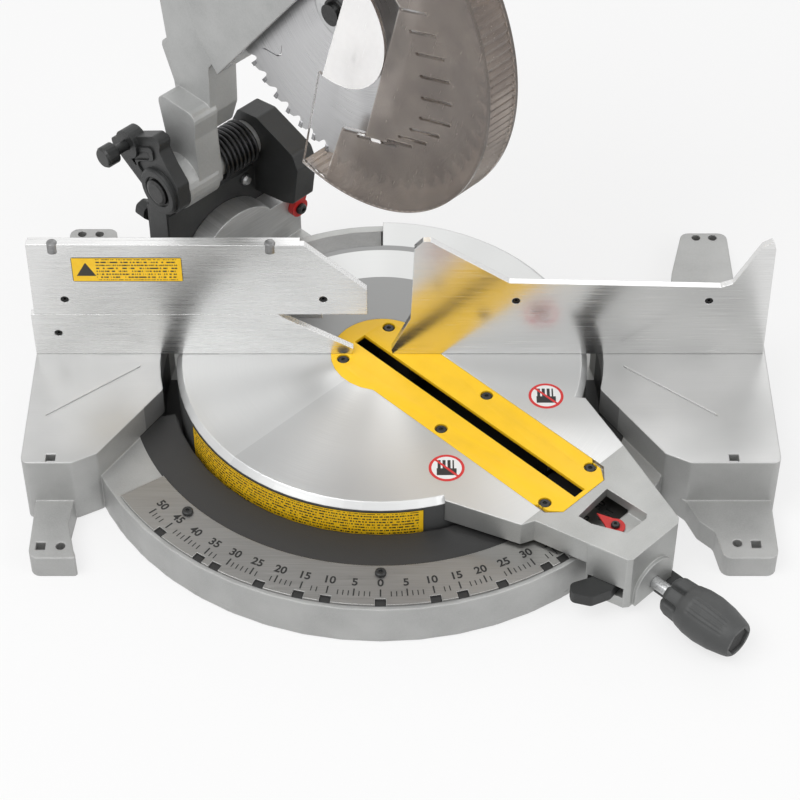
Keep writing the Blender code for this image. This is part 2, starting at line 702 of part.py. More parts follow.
def build_bevel_stop(joint, pawl_joint):
    """The red pawl that sets the bevel stops, on the front of the trunnion."""
    back = TRUNNION_FRONT - GAP
    eye = (66, 18)
    pawl = arc(eye, 9, math.radians(120), math.radians(400), 18) + [(75, 30), (75, 52), (67, 54), (64, 34)]
    shape = plate("bevel_stop_pawl", [pawl, circle(eye, 2.6, 14)], back - 6, back, "XZ")
    attach(shape, pawl_joint, "red")
    screw("pawl_screw", (66, back - 6 - GAP, 18), (0, -1, 0), 4.5, 3, 16, joint, "black")
    cut(bpy.data.objects["turntable"], rod("pawl_bore", (66, 170, 18), (66, 190, 18), 2.6, 12))


def build_pivots(root, turntable):
    """The bolt under the kerf plate that the turntable turns on, and the pin that the head tilts on."""
    bolt = [
        (0, -TABLE_HEIGHT + 0.5),
        (PIVOT_RADIUS, -TABLE_HEIGHT + 0.5),
        (PIVOT_RADIUS, TROUGH_BOTTOM + GAP),
        (9.5, TROUGH_BOTTOM + GAP),
        (9.5, TROUGH_BOTTOM + 5),
        (0, TROUGH_BOTTOM + 5),
    ]
    attach(turned("miter_pivot_bolt", bolt, (0, 0, 0), (0, 0, 1), 24), root, "steel")
    front = TRUNNION_FRONT - GAP
    radius = BEVEL_PIN_RADIUS
    pin = [(0, front - 2.4), (12.5, front - 2.4), (12.5, front), (radius, front)]
    pin += [(radius, 253), (radius - 1, 254), (0, 254)]
    attach(turned("bevel_pivot_pin", pin, (0, 0, 0), (0, 1, 0), 24), turntable, "steel")


def build_bevel_support(joint):
    """The casting that tilts on the trunnion and holds the chop pivot between two cheeks."""
    front, back = BEVEL_FRONT, BEVEL_BACK
    chop = (CHOP_AXIS_BACK, CHOP_AXIS_HEIGHT)
    left_side, right_side = CHEEK_LEFT_OUTER + 1, CHEEK_RIGHT_OUTER - 1
    boss_root = CHEEK_LEFT_INNER - 2
    body = [(left_side, 24), (-44, -30), (44, -30), (right_side, 24)]
    body += [(right_side, BEVEL_BODY_TOP), (left_side, BEVEL_BODY_TOP)]
    support = plate("bevel_support", [body], front, back, "XZ")
    left = [(front + 1, 30), (back - 1, 30), (219, 64), (223, 86), (262, 111)]
    left += [(264, 118), (207, 151), (197, 150)]
    left += [(199, 139), (190, 126), (178, 113), (178, 90), (183, 82), (front + 1, 76), (front + 1, 62)]
    right = [(front + 1, 40), (back - 1, 40), (back - 1, 102), (214, 120), (190, 124)]
    right += [(146, 108), (140, 94), (146, 54), (160, 48)]
    join(
        support,
        rod("bevel_hub", (0, front, 0), (0, back - 1, 0), BEVEL_HUB_RADIUS, 32),
        plate("left_cheek", [rounded(left, 6)], CHEEK_LEFT_OUTER, CHEEK_LEFT_INNER, "YZ"),
        plate("right_cheek", [rounded(right, 5)], CHEEK_RIGHT_INNER, CHEEK_RIGHT_OUTER, "YZ"),
        rod("left_boss", (CHEEK_LEFT_OUTER - BOSS_RISE, *chop), (boss_root, *chop), BOSS_RADIUS, 28),
        rod("lock_boss", (CHEEK_LEFT_OUTER - LOCK_BOSS_RISE, *LOCK_PIN), (boss_root, *LOCK_PIN), 13, 28),
    )
    cut(
        support,
        rod("chop_bore", (-80, *chop), (80, *chop), CHOP_PIN_RADIUS + GAP, 24),
        rod("lock_pin_bore", (-80, *LOCK_PIN), (-40, *LOCK_PIN), LOCK_PIN_RADIUS + GAP, 22),
        rod("tilt_bore", (0, 190, 0), (0, 230, 0), BEVEL_PIN_RADIUS + GAP, 24),
        rod("stop_bore", (26, 190, 60), (26, 216, 60), 2.8, 12),
        box("rear_pocket", (-40, back - 18, 24), (36, back + 1, BEVEL_BODY_TOP - 6)),
    )
    attach(support, joint, "black")
    head_face = CHEEK_LEFT_OUTER - BOSS_RISE - GAP
    pin_end = CHEEK_RIGHT_OUTER + 3
    pin = [
        (0, head_face - 3.5),
        (9, head_face - 3.5),
        (12, head_face - 2.5),
        (12, head_face),
        (CHOP_PIN_RADIUS, head_face),
        (CHOP_PIN_RADIUS, pin_end),
        (0, pin_end + 1),
    ]
    attach(turned("chop_pivot_pin", pin, (0, *chop), (1, 0, 0), 24), joint, "steel")
    screw("bevel_stop_bolt", (26, front - GAP, 60), (0, -1, 0), 5, 5, 18, joint)


def build_chop_spring(joint):
    """The torsion spring that lifts the head: a coil on the chop axis."""
    curve = bpy.data.curves.new("chop_spring", "CURVE")
    curve.dimensions = "3D"
    curve.bevel_depth = SPRING_WIRE * MM
    curve.bevel_resolution = 1
    curve.use_fill_caps = True
    count = SPRING_TURNS * SPRING_POINTS
    spline = curve.splines.new("POLY")
    spline.points.add(count)
    for number, point in enumerate(spline.points):
        angle = 2 * math.pi * number / SPRING_POINTS
        x = SPRING_START + (SPRING_END - SPRING_START) * number / count
        y = CHOP_AXIS_BACK + SPRING_RADIUS * math.cos(angle)
        z = CHOP_AXIS_HEIGHT + SPRING_RADIUS * math.sin(angle)
        point.co = (x * MM, y * MM, z * MM, 1)
    attach(link("chop_spring", curve), joint, "black")


def build_bevel_lock(joint):
    """The lever behind the support that locks the tilt."""
    start = BEVEL_BACK + GAP
    end = start + 24
    lever = [(-10, -11), (10, -11), (14, 0), (10, 11), (-48, 52), (-56, 50), (-58, 42)]
    shape = rod("bevel_lock_lever", (0, start, 0), (0, end, 0), 16, 28)
    join(shape, plate("lever_arm", [rounded(lever, 4)], end - 13, end - 2, "XZ"))
    cut(shape, rod("lever_bore", (0, start - 1, 0), (0, end + 1, 0), BEVEL_PIN_RADIUS + GAP, 24))
    attach(shape, joint, "black")


def build_lock_pin(joint):
    """The pin that holds the head down, pulled out at rest."""
    start = CHEEK_LEFT_OUTER - LOCK_BOSS_RISE
    radius = LOCK_PIN_RADIUS
    profile = [
        (0, start - 26),
        (8, start - 26),
        (9.5, start - 24),
        (9.5, start - 14),
        (radius, start - 14),
        (radius, CHEEK_LEFT_INNER - 1),
        (0, CHEEK_LEFT_INNER),
    ]
    attach(turned("lock_down_pin", profile, (0, *LOCK_PIN), (1, 0, 0), 20), joint, "steel")


def on_blade(radius, degrees):
    """A point round the arbor in the YZ plane: 0 degrees is forward and 90 is up."""
    angle = math.radians(degrees)
    return (ARBOR_Y - radius * math.cos(angle), ARBOR_HEIGHT + radius * math.sin(angle))


def blade_arc(radius, start, end, steps):
    return [on_blade(radius, start + (end - start) * step / steps) for step in range(steps + 1)]


def build_head(joint):
    """The head casting: chop arm, upper blade guard and gearcase in one piece."""
    chop = (CHOP_AXIS_BACK, CHOP_AXIS_HEIGHT)
    arbor = (ARBOR_Y, ARBOR_HEIGHT)
    motor = (MOTOR_Y, MOTOR_HEIGHT)
    outer = UPPER_GUARD_HALF_WIDTH
    guard = blade_arc(UPPER_GUARD_RADIUS, 8, 172, 30)
    head = plate("head_casting", [guard], -outer, outer, "YZ")
    root = [(213, 75), (190, 76), (150, 112), (128, 126), (158, 164), (196, 119)]
    arm = [(166, 112), (138, 122), (98, 152), (60, 152), (20, 190), (-10, 250)]
    arm += [(30, 262), (100, 222), (160, 160), (178, 132)]
    web = [(166, 112), (138, 122), (98, 152), (60, 152), (66, 176)]
    web += [(92, 190), (140, 196), (160, 160), (178, 132)]
    tail = [(200, 78), (222, 80), (246, 116), (248, 130), (238, 138), (226, 136), (196, 118)]
    lug = [(-150, 250), (-140, 296), (-160, 312), (HANDLE_BACK, 312), (HANDLE_BACK, 254), (-188, 240)]
    join(
        head,
        plate("arm_root", [rounded(root, 8)], -37, -12, "YZ"),
        plate("chop_arm", [rounded(arm, 10)], -18, -6, "YZ"),
        plate("arm_web", [rounded(web, 8)], -17, 12, "YZ"),
        rod("knuckle", (-49, *chop), (-16, *chop), KNUCKLE_RADIUS, 28),
        rod("sleeve", (-17, *chop), (CHEEK_RIGHT_INNER - GAP, *chop), SLEEVE_RADIUS, 24),
        plate("lock_lug", [rounded(tail, 5)], -47, -30, "YZ"),
        rod("gearcase", (outer - 2, *arbor), (GEARCASE_END, *arbor), GEARCASE_RADIUS, 28),
        rod("motor_mount", (outer - 3, *motor), (MOTOR_START - GAP, *motor), MOTOR_RADIUS + 1, 32),
        plate("handle_lug", [rounded(lug, 8)], -9, 9, "YZ"),
        rod("dust_spigot", (CHUTE_X, *CHUTE_ROOT), (CHUTE_X, *CHUTE_START), CHUTE_RADIUS, 20),
    )
    wall = UPPER_GUARD_WALL
    cavity = rod("cavity", (-outer + wall, *arbor), (outer - wall, *arbor), UPPER_GUARD_RADIUS - wall, 44)
    cut(head, cavity)
    join(head, rod("nose", (NOSE_FACE, *arbor), (outer, *arbor), NOSE_RADIUS, 30))
    button_front, button_back = (BUTTON_X, -150, ARBOR_HEIGHT), (BUTTON_X, -98, ARBOR_HEIGHT)
    chute_end = Vector((CHUTE_X, *CHUTE_START))
    chute_along = (chute_end - Vector((CHUTE_X, *CHUTE_ROOT))).normalized()
    cut(
        head,
        rod("arbor_bore", (0, *arbor), (GEARCASE_END - 2, *arbor), ARBOR_RADIUS + GAP, 24),
        rod("chop_arm_bore", (-60, *chop), (60, *chop), CHOP_PIN_RADIUS + GAP, 24),
        rod("lug_bore", (-60, *LOCK_PIN), (-20, *LOCK_PIN), LOCK_PIN_RADIUS + GAP, 20),
        rod("motor_bore", (GEARCASE_END, *motor), (80, *motor), MOTOR_SHAFT_RADIUS + GAP + 1, 20),
        rod("button_bore", button_front, button_back, BUTTON_RADIUS + GAP, 20),
        rod("dust_bore", chute_end - chute_along * 90, chute_end + chute_along * 5, CHUTE_RADIUS - 4, 16),
    )
    attach(head, joint, "machined")


def build_motor(joint, armature):
    """The motor on the right of the blade: housing, end cap, brush caps, cord gland and armature."""
    motor = (MOTOR_Y, MOTOR_HEIGHT)
    housing = rod("motor_housing", (MOTOR_START, *motor), (MOTOR_END, *motor), MOTOR_RADIUS, 32)
    shaft_bore = MOTOR_SHAFT_RADIUS + GAP
    cut(
        housing,
        rod("motor_inside", (MOTOR_START + 6, *motor), (MOTOR_END + 1, *motor), MOTOR_RADIUS - 4, 28),
        rod("motor_front_bore", (MOTOR_START - 1, *motor), (MOTOR_START + 7, *motor), shaft_bore, 20),
    )
    for side in (-1, 1):
        start = (BRUSH_X, MOTOR_Y + side * 30, MOTOR_HEIGHT)
        end = (BRUSH_X, MOTOR_Y + side * 60, MOTOR_HEIGHT)
        cut(housing, rod(f"brush_bore_{side}", start, end, 4 + GAP, 16))
        profile = [(0, -6), (4, -6), (4, 0), (8, 0), (8, 3.5), (6.5, 5), (0, 5)]
        place = (BRUSH_X, MOTOR_Y + side * (MOTOR_RADIUS + GAP), MOTOR_HEIGHT)
        name = "brush_cap_front" if side < 0 else "brush_cap_rear"
        attach(turned(name, profile, place, (0, side, 0), 20), joint, "black")
    attach(housing, joint, "yellow")
    cap_start = MOTOR_END + GAP
    radius = MOTOR_RADIUS
    cap = [
        (0, cap_start + 6),
        (radius - 5, cap_start + 6),
        (radius - 5, cap_start),
        (radius, cap_start),
        (radius, cap_start + 10),
        (radius - 5, MOTOR_CAP_END - 5),
        (radius - 14, MOTOR_CAP_END),
        (0, MOTOR_CAP_END),
    ]
    attach(turned("motor_end_cap", cap, (0, *motor), (1, 0, 0), 32), joint, "black")
    gland = [(0, 0), (11, 0), (11, 6), (8, 8), (6.5, 30), (0, 30)]
    place = (BRUSH_X - 45, MOTOR_Y, MOTOR_HEIGHT + MOTOR_RADIUS + GAP)
    attach(turned("cord_gland", gland, place, (0, 0, 1), 20), joint, "black")
    shaft = MOTOR_SHAFT_RADIUS
    core = [
        (0, GEARCASE_END + 4),
        (shaft, GEARCASE_END + 4),
        (shaft, 84),
        (28, 84),
        (28, 150),
        (shaft, 150),
        (shaft, 160),
        (15, 160),
        (15, 182),
        (shaft, 182),
        (shaft, cap_start + 5.4),
        (0, cap_start + 5.4),
    ]
    attach(turned("armature", core, (0, *motor), (1, 0, 0), 24), armature, "steel")


def build_handle(joint, trigger_joint):
    """The D handle in two shells with the trigger between them, and the carrying handle on top."""
    back = HANDLE_BACK - GAP
    outline = [(back, 312), (-245, 326), (-312, 310), (-342, 272), (-338, 226), (-308, 196)]
    outline += [(-262, 196), (-238, 232), (back, 258)]
    hole = [(-228, 296), (-284, 294), (-312, 270), (-310, 232), (-290, 214)]
    hole += [(-264, 214), (-246, 240), (-232, 266)]
    shape = [rounded(outline, 16), rounded(hole, 9)]
    pocket_low = (-TRIGGER_HALF_WIDTH - GAP, -326, 242)
    pocket_high = (TRIGGER_HALF_WIDTH + GAP, -294, 286)
    for side, low, high in (("left", -17, -GAP / 2), ("right", GAP / 2, 17)):
        shell = plate("handle_" + side, shape, low, high, "YZ")
        cut(shell, box(side + "_trigger_pocket", pocket_low, pocket_high))
        attach(shell, joint, "black")
    trigger = [(-302, 284), (-318, 284), (-318, 252), (-311, 245), (-298, 248), (-301, 264)]
    half = TRIGGER_HALF_WIDTH
    attach(plate("trigger", [rounded(trigger, 3)], -half, half, "YZ"), trigger_joint, "yellow")
    low = UPPER_GUARD_RADIUS + GAP
    grip = blade_arc(228, 79, 124, 12) + blade_arc(low, 124, 79, 12)
    gap = blade_arc(212, 85, 118, 8) + blade_arc(185, 118, 85, 8)
    attach(plate("carry_handle", [grip, gap], -9.5, 9.5, "YZ"), joint, "black")


def build_dust_chute(joint):
    start = Vector((CHUTE_X, *CHUTE_START))
    along = (start - Vector((CHUTE_X, *CHUTE_ROOT))).normalized()
    radius = CHUTE_RADIUS
    profile = [(radius - 3, GAP), (radius, GAP), (radius, 40), (radius + 2, 42)]
    profile += [(radius + 2, 58), (radius - 1, 58)]
    profile += [(radius - 1, 42), (radius - 3, 40), (radius - 3, GAP)]
    attach(turned("dust_chute", profile, start, along, 28), joint, "black")


def build_button(joint):
    """The button that locks the spindle while the blade bolt is turned."""
    front = ARBOR_Y - GEARCASE_RADIUS
    start = (BUTTON_X, front - 9, ARBOR_HEIGHT)
    end = (BUTTON_X, front + 9, ARBOR_HEIGHT)
    attach(rod("spindle_lock_button", start, end, BUTTON_RADIUS, 20), joint, "red")


def build_blade(joint):
    """The blade between its flanges on the arbor, held by the bolt."""
    arbor = (0, ARBOR_Y, ARBOR_HEIGHT)
    half = BLADE_THICKNESS / 2
    outline = []
    for tooth in range(TEETH):
        start = 360 * tooth / TEETH
        pitch = 360 / TEETH
        outline += [on_blade(BLADE_RADIUS, start), on_blade(BLADE_RADIUS - 1, start + pitch * 0.3)]
        outline += [on_blade(BLADE_RADIUS - 7, start + pitch * 0.85)]
    hole = circle((ARBOR_Y, ARBOR_HEIGHT), ARBOR_RADIUS + GAP, 24)
    attach(plate("blade", [outline, hole], -half, half, "YZ"), joint, "blade")
    near = half + GAP
    far = near + FLANGE_THICKNESS
    bore = ARBOR_RADIUS + GAP
    for name, side in (("flange_inner", 1), ("flange_outer", -1)):
        ring = [(bore, near), (FLANGE_RADIUS, near), (FLANGE_RADIUS, far - 1)]
        ring += [(FLANGE_RADIUS - 2, far), (bore, far), (bore, near)]
        attach(turned(name, ring, arbor, (side, 0, 0), 32), joint, "steel")
    shaft = [
        (0, 12),
        (BOLT_RADIUS + GAP, 12),
        (BOLT_RADIUS + GAP, -far),
        (ARBOR_RADIUS, -far),
        (ARBOR_RADIUS, GEARCASE_END - 3),
        (0, GEARCASE_END - 3),
    ]
    attach(turned("arbor_shaft", shaft, arbor, (1, 0, 0), 24), joint, "steel")
    start = -far - GAP
    bolt = [(0, start - 7), (9, start - 7), (9, start - 2), (11, start - 2)]
    bolt += [(11, start), (BOLT_RADIUS, start)]
    bolt += [(BOLT_RADIUS, 10), (0, 10)]
    attach(turned("arbor_bolt", bolt, arbor, (1, 0, 0), 24), joint, "black")


def build_lower_guard(joint):
    """The hinged guard round the lower half of the blade, open on the left round the bolt."""
    arbor = (ARBOR_Y, ARBOR_HEIGHT)
    half = LOWER_GUARD_HALF_WIDTH
    wall = LOWER_GUARD_WALL
    start, end = LOWER_GUARD_START, LOWER_GUARD_END
    outline = blade_arc(LOWER_GUARD_RADIUS, start, end, 32) + blade_arc(60, end, start, 14)
    guard = plate("lower_guard", [outline], -half, half, "YZ")
    inside = LOWER_GUARD_RADIUS - wall
    cut(guard, rod("guard_inside", (-half + wall, *arbor), (half - wall, *arbor), inside, 44))
    ring = [circle(arbor, 64, 26), circle(arbor, NOSE_RADIUS + GAP, 28)]
    join(guard, plate("guard_hub", ring, half - wall, half, "YZ"))
    attach(guard, joint, "smoke")


def stand_on_bench(root):
    """Moves the whole saw so that its box is centred on X = Y = 0 and stands on Z = 0."""
    bpy.context.view_layer.update()
    graph = bpy.context.evaluated_depsgraph_get()
    points = []
    for obj in bpy.context.scene.collection.objects:
        if obj.type in ("MESH", "CURVE"):
            evaluated = obj.evaluated_get(graph)
            mesh = evaluated.to_mesh()
            points += [evaluated.matrix_world @ vertex.co for vertex in mesh.vertices]
            evaluated.to_mesh_clear()
    low = [min(point[axis] for point in points) for axis in range(3)]
    high = [max(point[axis] for point in points) for axis in range(3)]
    root.location = (-(low[0] + high[0]) / 2, -(low[1] + high[1]) / 2, -low[2])
    bpy.context.view_layer.update()


def main():
    clear_scene()
    chop_place = (0, CHOP_AXIS_BACK, CHOP_AXIS_HEIGHT)
    arbor_place = (0, ARBOR_Y, ARBOR_HEIGHT)
    motor_place = (0, MOTOR_Y, MOTOR_HEIGHT)
    lock_place = (LOCK_AXIS_SIDE, -KNOB_START, LOCK_AXIS_HEIGHT)
    clamp_place = (CLAMP_X, GUIDE_BACK, CLAMP_Z)
    root = joint_empty("saw", None, (0, 0, 0))
    slide = joint_empty("fence_slide_axis", root, (-150, 0, LOWER_FENCE_TOP))
    clamp = joint_empty("fence_clamp_axis", slide, clamp_place)
    miter = joint_empty("miter_axis", root, (0, 0, 0))
    lock = joint_empty("miter_lock_axis", miter, lock_place)
    latch = joint_empty("miter_latch_axis", miter, (-12, -281, LATCH_LOW))
    paddle = joint_empty("detent_override_axis", miter, (20, -276, ARM_BLOCK_BOTTOM))
    pawl = joint_empty("bevel_stop_axis", miter, (66, TRUNNION_FRONT, 18))
    bevel = joint_empty("bevel_axis", miter, (0, TRUNNION_BACK, 0))
    bevel_lock = joint_empty("bevel_lock_axis", bevel, (0, BEVEL_BACK, 0))
    pin = joint_empty("lock_down_axis", bevel, (CHEEK_LEFT_OUTER, *LOCK_PIN))
    chop = joint_empty("chop_axis", bevel, chop_place)
    trigger = joint_empty("trigger_axis", chop, (0, *TRIGGER_PIVOT))
    button = joint_empty("spindle_lock_axis", chop, (BUTTON_X, ARBOR_Y - GEARCASE_RADIUS, ARBOR_HEIGHT))
    guard = joint_empty("guard_axis", chop, arbor_place)
    spindle = joint_empty("blade_axis", chop, arbor_place)
    armature = joint_empty("armature_axis", chop, motor_place)

    build_base(root)
    build_right_fence(root)
    build_left_fence(root, slide, clamp)
    build_turntable(miter)
    build_kerf_plate(miter)
    build_miter_controls(miter, lock, latch, paddle)
    build_bevel_stop(miter, pawl)
    build_pivots(root, miter)
    build_bevel_support(bevel)
    build_chop_spring(bevel)
    build_bevel_lock(bevel_lock)
    build_lock_pin(pin)
    build_head(chop)
    build_motor(chop, armature)
    build_handle(chop, trigger)
    build_dust_chute(chop)
    build_button(button)
    build_blade(spindle)
    build_lower_guard(guard)

    miter.rotation_euler = (0, 0, MITER_ANGLE)
    chop.rotation_euler = (-CHOP_TRAVEL, 0, 0)
    guard.rotation_euler = (CHOP_TRAVEL * GUARD_RATIO, 0, 0)
    stand_on_bench(root)


main()
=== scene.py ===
"""The looks of the compound miter saw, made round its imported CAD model.

Sizes are in millimetres, in the frames that the pieces are drawn in: X to the right, Y to the back, Z up from the
table top, with the arm straight ahead, the head upright and the blade lowered. TABLE, TURNED, HEAD and GUARD carry
a piece from there to where it rests. Radii, angles and outlines stand as numbers where they are used once.
"""

import math

import bmesh
import bpy
from mathutils import Matrix, Vector


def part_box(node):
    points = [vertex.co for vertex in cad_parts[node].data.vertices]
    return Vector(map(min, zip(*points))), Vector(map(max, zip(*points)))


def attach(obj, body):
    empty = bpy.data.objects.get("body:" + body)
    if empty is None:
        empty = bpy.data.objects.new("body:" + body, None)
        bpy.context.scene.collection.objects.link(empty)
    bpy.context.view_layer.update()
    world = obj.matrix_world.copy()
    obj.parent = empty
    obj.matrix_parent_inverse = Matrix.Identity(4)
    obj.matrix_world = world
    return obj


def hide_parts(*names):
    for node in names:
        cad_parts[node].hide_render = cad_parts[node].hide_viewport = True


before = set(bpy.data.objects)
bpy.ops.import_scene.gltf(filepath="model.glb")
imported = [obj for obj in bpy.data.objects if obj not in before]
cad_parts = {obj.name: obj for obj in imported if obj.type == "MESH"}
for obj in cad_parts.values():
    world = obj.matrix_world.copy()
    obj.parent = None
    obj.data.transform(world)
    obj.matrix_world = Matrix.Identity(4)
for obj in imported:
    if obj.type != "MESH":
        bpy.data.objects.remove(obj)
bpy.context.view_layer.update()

MM = 0.001
TAU = 2 * math.pi
FRONT = math.radians(270)


def about(place, degrees):
    """A turn about the line along X through a place."""
    shift = Matrix.Translation(place)
    return shift @ Matrix.Rotation(math.radians(degrees), 4, "X") @ shift.inverted()


PIVOT = (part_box("miter_pivot_bolt")[0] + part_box("miter_pivot_bolt")[1]) / 2
TABLE_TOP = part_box("base_casting")[1].z
CHOP = (0, 202, 96)
ARBOR = (0, -87, 118)
REST_MITER = 45
REST_CHOP = 51.5
GUARD_RATIO = 3.04
TABLE = Matrix.Translation((PIVOT.x, PIVOT.y, TABLE_TOP)) @ Matrix.Scale(MM, 4)
TURNED = TABLE @ Matrix.Rotation(math.radians(REST_MITER), 4, "Z")
HEAD = TURNED @ about(CHOP, -REST_CHOP)
GUARD = HEAD @ about(ARBOR, REST_CHOP * GUARD_RATIO)

TABLE_RADIUS = 173
SCALE_TOP = -26.0
LOCK_KNOB = (4, -321, -45.6)


# Materials


class Graph:
    """The nodes of one material. x, y and z are millimetres in the frame that the piece is drawn in."""

    def __init__(self, name, matrix, colour, roughness, metallic=0.0):
        self.material = bpy.data.materials.new(name)
        self.material.use_nodes = True
        self.tree = self.material.node_tree
        self.shader = self.tree.nodes["Principled BSDF"]
        self.put(self.shader, {"Base Color": (*colour, 1), "Roughness": roughness, "Metallic": metallic})
        coordinates = self.add("TexCoord")
        inverse = matrix.inverted()
        position = coordinates.outputs["Object"]
        self.x, self.y, self.z = [
            self.maths("ADD", self.vector("DOT_PRODUCT", position, row[:3], "Value"), row[3]) for row in inverse[:3]
        ]
        self.place = self.joined(self.x, self.y, self.z)
        normal = coordinates.outputs["Normal"]
        self.up = self.vector("DOT_PRODUCT", normal, inverse[2].xyz * MM, "Value")

    def put(self, node, inputs):
        for key, value in inputs.items():
            if isinstance(value, bpy.types.NodeSocket):
                self.tree.links.new(value, node.inputs[key])
            else:
                node.inputs[key].default_value = value

    def add(self, kind, inputs=(), **settings):
        node = self.tree.nodes.new("ShaderNode" + kind)
        for key, value in settings.items():
            setattr(node, key, value)
        self.put(node, dict(inputs))
        return node

    def maths(self, operation, first, second=0.0, clamp=False):
        return self.add("Math", {0: first, 1: second}, operation=operation, use_clamp=clamp).outputs[0]

    def vector(self, operation, first, second=(0, 0, 0), out="Vector"):
        return self.add("VectorMath", {0: first, 1: second}, operation=operation).outputs[out]

    def joined(self, x, y, z):
        return self.add("CombineXYZ", {"X": x, "Y": y, "Z": z}).outputs["Vector"]

    def noise(self, scale, detail=2.0, vector=None, rough=0.5):
        inputs = {"Vector": vector or self.place, "Scale": scale, "Detail": detail, "Roughness": rough}
        return self.add("TexNoise", inputs).outputs["Fac"]

    def between(self, value, low, high, start=0.0, end=1.0):
        """The value's place from low to high, as a number from start to end."""
        inputs = {"Value": value, "From Min": low, "From Max": high, "To Min": start, "To Max": end}
        return self.add("MapRange", inputs).outputs["Result"]

    def mix(self, share, first, second):
        node = self.add("Mix", data_type="RGBA")
        for socket, value in ((node.inputs[0], share), (node.inputs[6], first), (node.inputs[7], second)):
            if isinstance(value, bpy.types.NodeSocket):
                self.tree.links.new(value, socket)
            else:
                socket.default_value = value if socket == node.inputs[0] else (*value, 1)
        return node.outputs[2]

    def inside(self, value, low, high):
        """1 where the value lies from low to high, otherwise 0."""
        return self.maths("MULTIPLY", self.maths("GREATER_THAN", value, low), self.maths("LESS_THAN", value, high))

    def all_of(self, *masks):
        found = masks[0]
        for mask in masks[1:]:
            found = self.maths("MULTIPLY", found, mask)
        return found

    def around(self):
        """The radius and the angle round Z."""
        radius = self.vector("LENGTH", self.joined(self.x, self.y, 0.0), out="Value")
        return radius, self.maths("ARCTAN2", self.y, self.x)

    def soft_edges(self, radius):
        return self.add("Bevel", {"Radius": radius * MM}, samples=4).outputs["Normal"]

    def edge_mask(self, rounded):
        """Near 1 on the edges of the shape, and 0 on its flats."""
        flat = self.add("NewGeometry").outputs["Normal"]
        return self.between(self.vector("DOT_PRODUCT", rounded, flat, "Value"), 0.985, 0.86)

    def bump(self, height, distance, strength=1.0, normal=None):
        inputs = {"Height": height, "Distance": distance * MM, "Strength": strength}
        if normal is not None:
            inputs["Normal"] = normal
        return self.add("Bump", inputs).outputs["Normal"]

    def use(self, **inputs):
        names = {"colour": "Base Color", "roughness": "Roughness", "normal": "Normal", "metallic": "Metallic"}
        self.put(self.shader, {names[key]: value for key, value in inputs.items()})
        return self.material


CAST = (0.44, 0.442, 0.435)
CAST_BRIGHT = (0.62, 0.62, 0.61)
MACHINED = (0.64, 0.645, 0.645)
BLACK = (0.017, 0.018, 0.018)
CHARCOAL = (0.062, 0.064, 0.064)
YELLOW = (0.98, 0.59, 0.012)
RED = (0.58, 0.022, 0.02)
STEEL = (0.55, 0.555, 0.56)
FENCE = (0.74, 0.74, 0.735)
SUPPORT = (0.02, 0.021, 0.021)


def cast_colour(g, rounded, colour=CAST):
    """Sand-cast metal: cloudy patches, fine grains and edges brightened, partly as wear and partly as a painted
    highlight.
    """
    cloudy = g.between(g.noise(0.03, 4), 0.3, 0.7)
    speckle = g.between(g.noise(1.1, 2), 0.35, 0.65)
    dim = tuple(part * 0.82 for part in colour)
    lit = tuple(part * 1.08 for part in colour)
    base = g.mix(cloudy, dim, colour)
    base = g.mix(g.maths("MULTIPLY", speckle, 0.35), base, lit)
    # Painted highlight, partly wear: the edges are mixed toward a brighter grey.
    return g.mix(g.maths("MULTIPLY", g.edge_mask(rounded), 0.55), base, CAST_BRIGHT)


def cast_metal(name, matrix, colour=CAST):
    g = Graph(name, matrix, colour, 0.5, 0.55)
    rounded = g.soft_edges(1.6)
    grain = g.maths("ADD", g.noise(0.75, 3), g.maths("MULTIPLY", g.noise(0.16, 2), 0.6))
    return g.use(
        colour=cast_colour(g, rounded, colour),
        roughness=g.between(g.noise(0.5, 2), 0.3, 0.7, 0.4, 0.56),
        normal=g.bump(grain, 0.22, 0.55, rounded),
    )


